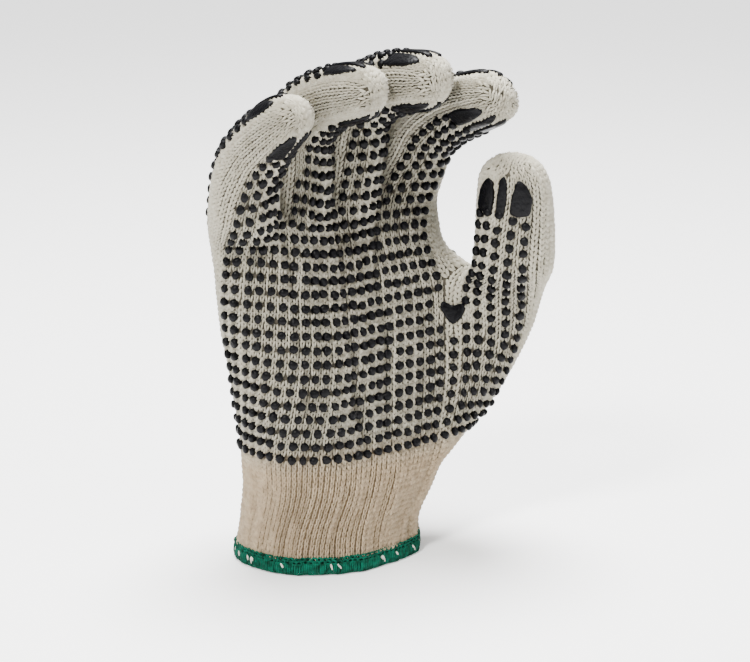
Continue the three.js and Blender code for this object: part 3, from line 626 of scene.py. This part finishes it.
def frames(face, u, v):
    """Points on the cloth with their facings, and their steps of one wale and one course."""
    lo, hi = UV[face, 0], UV[face, 2]
    x = ((u - lo[:, 0]) / (hi[:, 0] - lo[:, 0]))[:, None]
    y = ((v - lo[:, 1]) / (hi[:, 1] - lo[:, 1]))[:, None]
    w = [(1 - x) * (1 - y), x * (1 - y), x * y, (1 - x) * y]
    c = F[face]
    p = sum(w[k] * V[c[:, k]] for k in range(4))
    n = sum(w[k] * N[c[:, k]] for k in range(4))
    n /= np.linalg.norm(n, axis=1, keepdims=True)
    tu = ((V[c[:, 1]] - V[c[:, 0]]) * (1 - y) + (V[c[:, 2]] - V[c[:, 3]]) * y) / (hi - lo)[:, :1]
    tv = ((V[c[:, 3]] - V[c[:, 0]]) * (1 - x) + (V[c[:, 2]] - V[c[:, 1]]) * x) / (hi - lo)[:, 1:]
    return dict(p=p, n=n, tu=tu, tv=tv, u=u, v=v)


def chart_at(u, v):
    """The cloth at single chart places: arrays of wales and courses."""
    lo, hi = UV[:, 0], UV[:, 2]
    face = []
    for a, b in zip(np.atleast_1d(u), np.atleast_1d(v)):
        hit = np.nonzero((lo[:, 0] <= a) & (a <= hi[:, 0]) & (lo[:, 1] <= b) & (b <= hi[:, 1]))[0]
        face.append(hit[0])
    return frames(np.array(face), np.atleast_1d(u).astype(float), np.atleast_1d(v).astype(float))


def new_mesh(name, verts, faces, material, slot, uv=None):
    me = bpy.data.meshes.new(name)
    verts, faces = np.asarray(verts, float), np.asarray(faces)
    k = faces.shape[1]
    me.vertices.add(len(verts))
    me.vertices.foreach_set("co", (verts * METRE).ravel())
    me.loops.add(faces.size)
    me.loops.foreach_set("vertex_index", faces.ravel().astype(np.int32))
    me.polygons.add(len(faces))
    me.polygons.foreach_set("loop_start", np.arange(0, faces.size, k, dtype=np.int32))
    if uv is not None:
        layer = me.uv_layers.new(name="chart")
        layer.data.foreach_set("uv", uv.reshape(-1).astype(np.float32))
    me.update(calc_edges=True)
    me.validate()
    me.polygons.foreach_set("use_smooth", np.full(len(faces), True))
    me.materials.append(material)
    o = bpy.data.objects.new(name, me)
    bpy.context.collection.objects.link(o)
    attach(o, "root")
    return o


def copies(count, points, faces):
    """The faces of many copies of a form of so many points."""
    many = (np.arange(count) * points)[:, None, None] + faces[None]
    return many.reshape(-1, faces.shape[1])


def stamp(fr, template, faces, size_u, size_v):
    """Copies of a template at each frame: template columns are wale, course and height."""
    x, y, z = template[None, :, 0, None], template[None, :, 1, None], template[None, :, 2, None]
    verts = fr["p"][:, None] + x * size_u[:, None] + y * size_v[:, None] + z * fr["n"][:, None]
    return verts.reshape(-1, 3), copies(len(fr["p"]), len(template), faces)


def take(fr, keep):
    return {k: a[keep] for k, a in fr.items()}


# Materials: the yarn's warm tone ends between these heights, in metres
WARM_ENDS = (0.036, 0.048)


def nodes_of(name):
    m = bpy.data.materials.new(name)
    m.use_nodes = True
    nt = m.node_tree
    return m, nt, nt.nodes["Principled BSDF"]


def noise(nt, scale, detail):
    where = nt.nodes.new("ShaderNodeTexCoord")
    grain = nt.nodes.new("ShaderNodeTexNoise")
    grain.inputs["Scale"].default_value = scale
    grain.inputs["Detail"].default_value = detail
    grain.inputs["Roughness"].default_value = 0.6
    nt.links.new(where.outputs["Object"], grain.inputs["Vector"])
    return grain.outputs["Fac"]


def ramp(nt, source, low, low_colour, high, high_colour):
    """A colour that runs from one tone to another as the source goes from low to high."""
    r = nt.nodes.new("ShaderNodeValToRGB")
    first, last = r.color_ramp.elements
    first.position = low
    first.color = (*low_colour, 1)
    last.position = high
    last.color = (*high_colour, 1)
    nt.links.new(source, r.inputs["Fac"])
    return r.outputs["Color"]


def add_bump(nt, bsdf, source, strength, distance):
    b = nt.nodes.new("ShaderNodeBump")
    b.inputs["Strength"].default_value = strength
    b.inputs["Distance"].default_value = distance
    nt.links.new(source, b.inputs["Height"])
    nt.links.new(b.outputs["Normal"], bsdf.inputs["Normal"])


def map_range(nt, source, to_min, to_max, from_min=0.0, from_max=1.0):
    m = nt.nodes.new("ShaderNodeMapRange")
    m.inputs["From Min"].default_value = from_min
    m.inputs["From Max"].default_value = from_max
    m.inputs["To Min"].default_value = to_min
    m.inputs["To Max"].default_value = to_max
    nt.links.new(source, m.inputs["Value"])
    return m.outputs["Result"]


def yarn_material(name, light, dark, warm_light, warm_dark):
    """Cotton yarn: fibres, slubs, and a warmer tone towards the cuff."""
    m, nt, bsdf = nodes_of(name)
    slub = noise(nt, 420, 4)
    fibre = noise(nt, 3800, 2)
    where = nt.nodes.new("ShaderNodeTexCoord")
    xyz = nt.nodes.new("ShaderNodeSeparateXYZ")
    nt.links.new(where.outputs["Object"], xyz.inputs["Vector"])
    tone = nt.nodes.new("ShaderNodeMix")
    tone.data_type = "RGBA"
    nt.links.new(map_range(nt, xyz.outputs["Z"], 0, 1, *WARM_ENDS), tone.inputs["Factor"])
    nt.links.new(ramp(nt, slub, 0.3, warm_dark, 0.62, warm_light), tone.inputs["A"])
    nt.links.new(ramp(nt, slub, 0.3, dark, 0.62, light), tone.inputs["B"])
    nt.links.new(tone.outputs["Result"], bsdf.inputs["Base Color"])
    bsdf.inputs["Roughness"].default_value = 0.92
    bsdf.inputs["Specular IOR Level"].default_value = 0.2
    bsdf.inputs["Sheen Weight"].default_value = 0.12
    bsdf.inputs["Sheen Roughness"].default_value = 0.6
    add_bump(nt, bsdf, fibre, 0.5, 0.0002)
    return m


def pvc_material():
    m, nt, bsdf = nodes_of("pvc_black")
    grain = noise(nt, 700, 3)
    fine = noise(nt, 2600, 2)
    tone = ramp(nt, grain, 0.3, (0.001, 0.001, 0.0014), 0.7, (0.0026, 0.0026, 0.0034))
    nt.links.new(tone, bsdf.inputs["Base Color"])
    nt.links.new(map_range(nt, fine, 0.26, 0.42), bsdf.inputs["Roughness"])
    bsdf.inputs["Specular IOR Level"].default_value = 0.1
    add_bump(nt, bsdf, grain, 0.6, 0.0007)
    return m


def thread_material(name, dark, light, rough=0.75):
    m, nt, bsdf = nodes_of(name)
    slub = noise(nt, 520, 3)
    fine = noise(nt, 4200, 2)
    nt.links.new(ramp(nt, slub, 0.32, dark, 0.66, light), bsdf.inputs["Base Color"])
    bsdf.inputs["Roughness"].default_value = rough
    bsdf.inputs["Specular IOR Level"].default_value = 0.12
    add_bump(nt, bsdf, fine, 0.6, 0.0002)
    return m


YARN = yarn_material("cotton_yarn", (0.4, 0.375, 0.3), (0.29, 0.265, 0.2),
                     (0.41, 0.32, 0.21), (0.28, 0.21, 0.13))
# The cloth under the stitches: painted shade, much darker than the yarn, a little less dark towards the
# cuff
CLOTH_PAINTED_SHADE = yarn_material("cotton_under_painted_shade", (0.075, 0.066, 0.048), (0.045, 0.04, 0.028),
                      (0.2, 0.15, 0.092), (0.14, 0.104, 0.062))
PVC = pvc_material()
GREEN = thread_material("overlock_green", (0.0, 0.022, 0.012), (0.0, 0.105, 0.062))
# The hem's core: green, darkened as painted shadow where it shows between the wraps
GREEN_PAINTED_SHADOW = thread_material("overlock_shadow", (0.0, 0.008, 0.005), (0.0, 0.028, 0.017), 0.9)
CREAM = thread_material("overlock_cream", (0.45, 0.43, 0.38), (0.7, 0.68, 0.6))

# The cloth: the outside sits a little low, under its stitches, and the inside is the wall's thickness
# in. The outside is coloured far darker than the yarn, as painted shade in the holes between the
# stitches
UNDER = 0.7


def cloth():
    v2, f2, uv2, n2 = dress(2)
    inside = v2 - n2 * WALL
    inside[v2[:, 2] < RIM_LEVEL, 2] = 0
    outside = V - N * UNDER
    outside[V[:, 2] < RIM_LEVEL, 2] = 0
    new_mesh("knit_cloth", outside, F, CLOTH_PAINTED_SHADE, "knit", uv=UV)
    new_mesh("knit_inside", inside, f2[:, ::-1], YARN, "knit", uv=uv2[:, ::-1])


def rim_of(f):
    """The points of the open rim in order: the edges that only one face has."""
    nxt = {}
    seen = set()
    for q in f:
        for k in range(4):
            seen.add((int(q[k]), int(q[(k + 1) % 4])))
    for a, b in seen:
        if (b, a) not in seen:
            nxt[a] = b
    loop = [min(nxt)]
    while nxt[loop[-1]] != loop[0]:
        loop.append(nxt[loop[-1]])
    return loop


cloth()
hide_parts("knit_shell")


# Places on the chart


def course_on(f, s):
    """The course at a distance along a digit."""
    return float(np.interp(s, *INFO["tips"][f["name"]]))


def course_at_height(z):
    return float(np.interp(z, HAND_Z, INFO["hand_v"]))


def mirrored(u):
    """Wales of the back as the palm's wales opposite them."""
    return np.where((u > EDGE_MID) & (u < STRIPS), BACK_END - u, u)


def unit(a):
    return a / (np.linalg.norm(a, axis=1, keepdims=True) + 1e-12)


# Dots: flat-topped knobs on every second wale, palm and back


def dot_frames():
    """Where the dots are: up to the patches of the tips, and clear of the heart."""
    fr = walk(np.arange(1, BACK_END, 2), DOT_ROW, DOT_FIRST_ROW)
    u, v = mirrored(fr["u"]), fr["v"]
    keep = ((fr["u"] < FRONT) | (fr["u"] > FRONT + SIDE)) & (v < SADDLE_BACK)
    for wale, above in SHORT_COLUMNS.items():
        keep &= ~((u == wale) & (v > INFO["root_v"] + above))
    heart = course_at_height(HEART["z"])
    keep &= ~((u == HEART["wale"]) & (v > heart - HEART_CLEAR_BELOW))
    keep &= ~((np.abs(u - HEART["wale"]) < HEART_CLEAR[0]) & (np.abs(v - heart) < HEART_CLEAR[1]))
    for f, (a, _, b) in zip(DIGITS, DIGIT_EDGES):
        keep &= ~((u >= a) & (u < b) & (v > course_on(f, f["length"] - DOTS_END)))
    return take(fr, keep)


def dome_faces(rings, sides):
    """Triangles between rings of so many corners, closed by one point in the middle."""
    faces = []
    for a in range(rings - 1):
        p, q = a * sides, (a + 1) * sides
        for i in range(sides):
            j = (i + 1) % sides
            faces += [(p + i, p + j, q + j), (p + i, q + j, q + i)]
    p, c = (rings - 1) * sides, rings * sides
    faces += [(p + i, p + (i + 1) % sides, c) for i in range(sides)]
    return np.array(faces)


def dots():
    fr = dot_frames()
    n = len(fr["p"])
    rng = np.random.default_rng(11)
    tu = unit(fr["tu"] - fr["n"] * (fr["tu"] * fr["n"]).sum(1, keepdims=True))
    tv = unit(np.cross(fr["n"], tu))
    fr["p"] = fr["p"] + tu * rng.normal(0, DOT_STRAY[0], (n, 1))
    fr["p"] = fr["p"] + tv * rng.normal(0, DOT_STRAY[1], (n, 1))
    ang = np.arange(DOT_SIDES) / DOT_SIDES * 2 * math.pi
    ph = rng.uniform(0, 7, (n, 4))
    outline = 1 + 0.06 * np.sin(2 * ang + ph[:, :1]) + 0.05 * np.sin(3 * ang + ph[:, 1:2])
    outline += 0.03 * np.sin(4 * ang + ph[:, 2:3]) + 0.03 * np.sin(5 * ang + ph[:, 3:])
    r = DOT_RADIUS * rng.uniform(0.92, 1.08, (n, 1)) * outline
    narrow = np.clip(np.linalg.norm(fr["tu"], axis=1, keepdims=True) / DOT_FULL_WALE, DOT_NARROWEST, 1.0)
    h = DOT_HEIGHT * rng.uniform(0.88, 1.12, (n, 1, 1))
    tip = rng.normal(0, 0.15, (n, 2))
    verts = []
    for scale, z in DOT_RINGS:
        k = (1 - scale) if scale < 1 else 0
        x = r * narrow * scale * np.cos(ang) + tip[:, :1] * k
        y = r * scale * np.sin(ang) + tip[:, 1:] * k
        up = (h * z if z > 0 else z) * fr["n"][:, None]
        verts.append(fr["p"][:, None] + x[..., None] * tu[:, None] + y[..., None] * tv[:, None] + up)
    top = fr["p"] + tip[:, :1] * tu + tip[:, 1:] * tv + fr["n"] * h[:, 0] * 1.03
    verts.append(top[:, None])
    verts = np.concatenate(verts, 1)
    faces = dome_faces(len(DOT_RINGS), DOT_SIDES)
    palm = fr["u"] < EDGE_MID
    for name, sel in (("pvc_dots_palm", palm), ("pvc_dots_back", ~palm)):
        many = copies(int(sel.sum()), verts.shape[1], faces)
        new_mesh(name, verts[sel].reshape(-1, 3), many, PVC, "pvc")
    return fr


DOTS = dots()


# Stitches: each is a V of two domed legs


def near_dot(fr):
    """True where a stitch lies wholly under a dot."""
    tree = KDTree(len(DOTS["p"]))
    for k, p in enumerate(DOTS["p"]):
        tree.insert(p, k)
    tree.balance()
    return np.array([tree.find(p)[2] < UNDER_DOT for p in fr["p"]])


def on_dome(fr):
    """True on the rounded ends of the digits, where each stitch gathers two wales."""
    u = mirrored(fr["u"])
    out = np.zeros(len(u), bool)
    for k, f in enumerate(DIGITS):
        mine = (u > DIGIT_EDGES[k][0]) & (u < DIGIT_EDGES[k][2])
        for strip in strips_of(k):
            mine |= (u > strip) & (u < strip + SIDE)
        out |= mine & (fr["v"] > course_on(f, f["length"] - DOME))
    return out


def stitch_template():
    """A V of two legs: across in wales, along in courses, and height."""
    rows = 5
    pts, quads = [], []
    for sign in (-1, 1):
        base = len(pts)
        for i in range(rows):
            t = i / (rows - 1)
            cx = sign * (LEG_ACROSS[0] + LEG_ACROSS[1] * t)
            cy = LEG_ALONG[0] + LEG_ALONG[1] * t
            half = LEG_HALF * (0.5 + 0.5 * math.sin(math.pi * (0.1 + 0.8 * t)))
            top = LEG_TOP * math.sin(math.pi * (0.1 + 0.76 * t)) - 0.2
            lean = 0.07 * sign
            pts += [(cx - half, cy + lean, LEG_FOOT), (cx, cy, top), (cx + half, cy - lean, LEG_FOOT)]
        for i in range(rows - 1):
            for k in range(2):
                a = base + 3 * i + k
                quads.append((a, a + 1, a + 4, a + 3))
    return np.array(pts), np.array(quads)


def stitches():
    fr = walk(np.arange(0.5 - SIDE, CHART_END), COURSE, shift=0.5, fill=True)
    fr = take(fr, ~near_dot(fr) & (fr["p"][:, 2] > STITCHES_FROM))
    dome = on_dome(fr)
    odd = np.floor(fr["u"]) % 2 == 1
    fr, dome = take(fr, ~(dome & odd)), dome[~(dome & odd)]
    wide = np.where(dome, 2.0, 1.0)[:, None]
    fr["p"] = fr["p"] + fr["tu"] * (wide - 1) / 2
    rng = np.random.default_rng(13)
    n = len(fr["p"])
    fr["p"] = fr["p"] + fr["tu"] * rng.normal(0, 0.035, (n, 1)) + fr["n"] * rng.normal(0, 0.05, (n, 1))
    size_u = fr["tu"] * wide * rng.uniform(0.94, 1.08, (n, 1))
    size_v = unit(fr["tv"]) * COURSE
    z = fr["p"][:, 2]
    size_u[z < CUFF_HEIGHT] *= CUFF_NARROWING
    cuff = z < CUFF_HEIGHT
    digits = fr["v"] > INFO["root_v"]
    back = (fr["u"] > EDGE_MID) & (fr["u"] < STRIPS)
    groups = {"stitches_cuff": cuff, "stitches_palm": ~cuff & ~digits & ~back,
              "stitches_back": ~cuff & ~digits & back, "stitches_digits": ~cuff & digits}
    template, quads = stitch_template()
    for name, sel in groups.items():
        verts, faces = stamp(take(fr, sel), template, quads, size_u[sel], size_v[sel])
        new_mesh(name, verts, faces, YARN, "knit")


stitches()

# Grip patches: domed plates that follow the cloth
PATCH_CORNERS = 28

# Rings of a patch: share of its outline and height above the cloth, then the height of its middle
PATCH_RINGS = [(1.0, -0.4), (1.03, 0.8), (0.98, 1.15), (0.85, 1.3), (0.6, 1.36), (0.3, 1.38)]
PATCH_TOP = 1.4


def smooth_outline(points):
    curve, reach, _ = closed_curve(points, 12)
    s = np.linspace(0, reach[-1], PATCH_CORNERS, endpoint=False)
    return np.stack([np.interp(s, reach, curve[:, 0]), np.interp(s, reach, curve[:, 1])], 1)


def patch(name, wale, course, row, flip, seed):
    """A patch round a chart place; flip is -1 on the back, where the wales run the other way."""
    here = chart_at(wale, course)
    tall = np.linalg.norm(here["tv"])
    rng = np.random.default_rng(seed)
    outline = smooth_outline(SHAPES[row["shape"]]) * (row["side"], 1)
    a = np.arange(PATCH_CORNERS) / PATCH_CORNERS * 2 * math.pi
    uneven = 1 + 0.03 * np.sin(4 * a + rng.uniform(0, 6)) + 0.025 * np.sin(7 * a + rng.uniform(0, 6))
    outline = outline * uneven[:, None]
    verts = []
    for scale, z in PATCH_RINGS:
        u = wale + flip * outline[:, 0] * scale * row["w"]
        fr = chart_at(u, course + outline[:, 1] * scale * row["h"] / tall)
        verts.append(fr["p"] + fr["n"] * z)
    verts = np.vstack(verts + [here["p"] + here["n"] * PATCH_TOP])
    faces = dome_faces(len(PATCH_RINGS), PATCH_CORNERS)
    if flip * row["side"] < 0:
        faces = faces[:, ::-1]
    o = new_mesh("patch_" + name, verts, faces, PVC, "pvc")
    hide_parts(name)


def patches():
    seed = 100
    for f, (_, middle, _) in zip(DIGITS, DIGIT_EDGES):
        for row in TIP_PATCHES:
            course = course_on(f, f["length"] - row["from_tip"])
            wale = middle + row["across"]
            seed += 1
            patch(f"{f['name']}_palm_{row['name']}", wale, course, row, 1, seed)
            patch(f"{f['name']}_back_{row['name']}", BACK_END - wale, course, row, -1, seed + 50)
    course = course_at_height(HEART["z"])
    row = dict(shape="heart", side=1, w=HEART["w"], h=HEART["h"])
    patch("crotch_palm_patch", HEART["wale"], course, row, 1, 91)
    patch("crotch_back_patch", BACK_END - HEART["wale"], course, row, -1, 92)


patches()

# The overlocked hem: a core darkened as painted shadow between the threads, wraps of thread over the raw
# edge, and two chains of loops outside.
# Height outside and inside, the way from one top round to the other, and the height of the wraps outside
HEM_TOP = 5.3
HEM_IN = 4.2
HEM_RUN = HEM_TOP + WALL + HEM_IN
WRAP_TOP = 3.3

# Distance from wrap to wrap and from loop to loop, number of cream streaks, and lean of the hem
WRAP_PITCH = 0.86
LOOP_PITCH = 2.1
STREAKS = 30
FLARE = -0.11

# Rows of the core from top to top, and corners round a thread
CORE_ROWS = 22
THREAD_SIDES = 6


def tube(path, radius):
    """A round thread along a path; radius may vary."""
    path = np.asarray(path, float)
    n = len(path)
    radius = np.broadcast_to(radius, (n,))
    d = np.gradient(path, axis=0)
    d /= np.linalg.norm(d, axis=1, keepdims=True)
    ref = np.array([0.31, 0.17, 0.93])
    a = np.cross(d, ref)
    a /= np.linalg.norm(a, axis=1, keepdims=True)
    b = np.cross(d, a)
    t = np.arange(THREAD_SIDES) / THREAD_SIDES * 2 * math.pi
    around = np.cos(t)[None, :, None] * a[:, None] + np.sin(t)[None, :, None] * b[:, None]
    ring = path[:, None] + radius[:, None, None] * around
    faces = []
    for i in range(n - 1):
        low, high = i * THREAD_SIDES, (i + 1) * THREAD_SIDES
        for k in range(THREAD_SIDES):
            j = (k + 1) % THREAD_SIDES
            faces.append((low + k, low + j, high + j, high + k))
    return ring.reshape(-1, 3), np.array(faces)


def join(parts):
    verts, faces, base = [], [], 0
    for v, f in parts:
        verts.append(v)
        faces.append(f + base)
        base += len(v)
    return np.vstack(verts), np.vstack(faces)


def hem():
    loop = rim_of(F)
    edge = V[loop]
    out = N[loop]
    step = np.linalg.norm(np.diff(np.vstack([edge, edge[:1]]), axis=0), axis=1)
    reach = np.r_[0, np.cumsum(step)]
    length = reach[-1]

    def at(s, values):
        s = np.mod(s, length)
        closed = np.vstack([values, values[:1]])
        return np.stack([np.interp(s, reach, closed[:, k]) for k in range(3)], -1)

    def spot(s, t, lift):
        """t runs from 0, outside top, to 1, inside top; lift is the distance from the cloth."""
        e, n = at(s, edge), at(s, out)
        n = n / np.linalg.norm(n, axis=-1, keepdims=True)
        d = np.asarray(t) * HEM_RUN
        z = np.where(d < HEM_TOP, HEM_TOP - d, np.where(d > HEM_TOP + WALL, d - HEM_TOP - WALL, 0.0))
        o = np.where(d < HEM_TOP, 0.0, np.where(d > HEM_TOP + WALL, -WALL, -(d - HEM_TOP)))
        ang = np.clip((d - HEM_TOP + 1.2) / (WALL + 2.4), 0, 1) * math.pi
        o = o + lift * np.cos(ang) + FLARE * z
        z = z - lift * np.sin(ang)
        p = e + n * o[..., None]
        p[..., 2] = z
        return p

    s = np.linspace(0, length, 2 * int(length), endpoint=False)
    grid = []
    for t in np.linspace(0, 1, CORE_ROWS):
        lift = 0.5 - 0.3 * (abs(t - 0.5) * 2) ** 6
        grid.append(spot(s, np.full(len(s), t), lift))
    grid = np.array(grid)
    m = len(s)
    faces = [(r * m + i, (r + 1) * m + i, (r + 1) * m + (i + 1) % m, r * m + (i + 1) % m)
             for r in range(CORE_ROWS - 1) for i in range(m)]
    core = new_mesh("hem_core", grid.reshape(-1, 3), np.array(faces), GREEN_PAINTED_SHADOW, "hem")
    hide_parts("hem_overlock")
    rng = np.random.default_rng(21)
    wraps = int(length / WRAP_PITCH)
    pitch = length / wraps
    green, cream = [], []
    for k in range(wraps):
        t = np.linspace((HEM_TOP - WRAP_TOP) / HEM_RUN, 0.97, 12)
        slant = (0.5 - t) * pitch * rng.uniform(0.3, 1.3)
        lift = 0.66 + rng.uniform(-0.08, 0.16) - 0.3 * np.maximum(2 * t - 1, 0) ** 4
        path = spot(k * pitch + slant + rng.normal(0, 0.08), t, lift)
        green.append(tube(path, 0.42 * rng.uniform(0.85, 1.15)))
    taper = np.sin(np.linspace(0.5, 2.7, 6))
    for _ in range(STREAKS):
        t = np.linspace(0.2, 0.36 + rng.uniform(-0.04, 0.05), 6)
        lean = (t - t[0]) * rng.uniform(2, 9)
        path = spot(rng.uniform(0, length) + lean, t, 0.9)
        cream.append(tube(path, 0.42 * taper))
    loops = int(length / LOOP_PITCH)
    a = np.linspace(0, 2 * math.pi, 11)
    for k in range(loops):
        for row, z0 in ((0, HEM_TOP - 0.65), (1, HEM_TOP - 1.75)):
            s0 = (k + row / 2) * length / loops + rng.normal(0, 0.12)
            z = z0 + rng.normal(0, 0.1) + 0.62 * np.sin(a) * rng.uniform(0.8, 1.3)
            lift = 0.7 + rng.normal(0, 0.06) + 0.2 * np.cos(a)
            path = spot(s0 + 0.98 * np.cos(a), (HEM_TOP - z) / HEM_RUN, lift)
            green.append(tube(path, 0.33 * rng.uniform(0.9, 1.15)))
        half = np.linspace(0, math.pi, 7)
        s0 = (k + 0.5) * length / loops
        t = (HEM_TOP - 0.2 + 0.6 * np.sin(half)) / HEM_RUN
        path = spot(s0 + np.cos(half), t, 1.0 + rng.normal(0, 0.05))
        green.append(tube(path, 0.4 * np.sin(0.6 + half * 0.62)))
    new_mesh("hem_threads", *join(green), GREEN, "hem")
    new_mesh("hem_streaks", *join(cream), CREAM, "hem")


hem()

# Floor and lights, in metres
FLOOR_HALF = 12.0
FLOOR_Z = -0.0015

# Camera: degrees above level, distance, millimetres a pixel, picture size and the origin's place in it
CAMERA_RISE = 15.0
CAMERA_REACH = 900.0
PIXEL = 0.37
PICTURE = (750, 662)
ORIGIN = (327, 552)
SENSOR = 36


def area_light(name, place, target, size, power, colour=(1, 1, 1)):
    data = bpy.data.lights.new(name, "AREA")
    data.shape = "DISK"
    data.size = size
    data.energy = power
    data.color = colour
    o = bpy.data.objects.new(name, data)
    bpy.context.collection.objects.link(o)
    o.location = place
    o.rotation_euler = (Vector(target) - Vector(place)).to_track_quat("-Z", "Y").to_euler()


def set_stage():
    """A white floor that glows away from the glove, a dome of light from above, and three lamps."""
    floor = bpy.data.meshes.new("floor")
    corners = [(-FLOOR_HALF, -FLOOR_HALF, FLOOR_Z), (FLOOR_HALF, -FLOOR_HALF, FLOOR_Z),
               (FLOOR_HALF, FLOOR_HALF, FLOOR_Z), (-FLOOR_HALF, FLOOR_HALF, FLOOR_Z)]
    floor.from_pydata(corners, [], [(0, 1, 2, 3)])
    m, nt, bsdf = nodes_of("floor_white")
    bsdf.inputs["Base Color"].default_value = (0.9, 0.9, 0.9, 1)
    bsdf.inputs["Emission Color"].default_value = (1, 1, 1, 1)
    where = nt.nodes.new("ShaderNodeTexCoord")
    reach = nt.nodes.new("ShaderNodeVectorMath")
    reach.operation = "LENGTH"
    nt.links.new(where.outputs["Object"], reach.inputs[0])
    glow = map_range(nt, reach.outputs["Value"], 0.3, 1.5, 0.2, 2.0)
    nt.links.new(glow, bsdf.inputs["Emission Strength"])
    bsdf.inputs["Roughness"].default_value = 0.9
    floor.materials.append(m)
    o = bpy.data.objects.new("floor", floor)
    bpy.context.collection.objects.link(o)
    world = bpy.data.worlds.new("studio")
    world.use_nodes = True
    nt = world.node_tree
    sky = nt.nodes["Background"]
    sky.inputs["Color"].default_value = (1, 1, 1, 1)
    where = nt.nodes.new("ShaderNodeTexCoord")
    xyz = nt.nodes.new("ShaderNodeSeparateXYZ")
    nt.links.new(where.outputs["Generated"], xyz.inputs["Vector"])
    nt.links.new(map_range(nt, xyz.outputs["Z"], 0.1, 0.6), sky.inputs["Strength"])
    bpy.context.scene.world = world
    target = (0.02, 0, 0.09)
    area_light("key", (-0.4, -0.8, 1.05), target, 0.26, 27.5, (1, 0.985, 0.96))
    area_light("fill", (0.8, -0.5, 0.6), target, 0.5, 4, (1, 0.97, 0.93))
    area_light("top", (0.05, 0.15, 1.15), target, 0.6, 58)


def set_camera():
    cam = bpy.data.cameras.new("camera")
    cam.sensor_width = SENSOR
    cam.lens = CAMERA_REACH / PIXEL / PICTURE[0] * SENSOR
    cam.clip_end = 20
    o = bpy.data.objects.new("camera", cam)
    bpy.context.collection.objects.link(o)
    e = rad(CAMERA_RISE)
    right, up = (PICTURE[0] / 2 - ORIGIN[0]) * PIXEL, (ORIGIN[1] - PICTURE[1] / 2) * PIXEL
    aim = np.array([right, 0, up / math.cos(e)])
    o.location = (aim + CAMERA_REACH * np.array([0, -math.cos(e), math.sin(e)])) * METRE
    o.rotation_euler = (math.pi / 2 - e, 0, 0)
    bpy.context.scene.camera = o


set_stage()
set_camera()

bpy.context.view_layer.update()
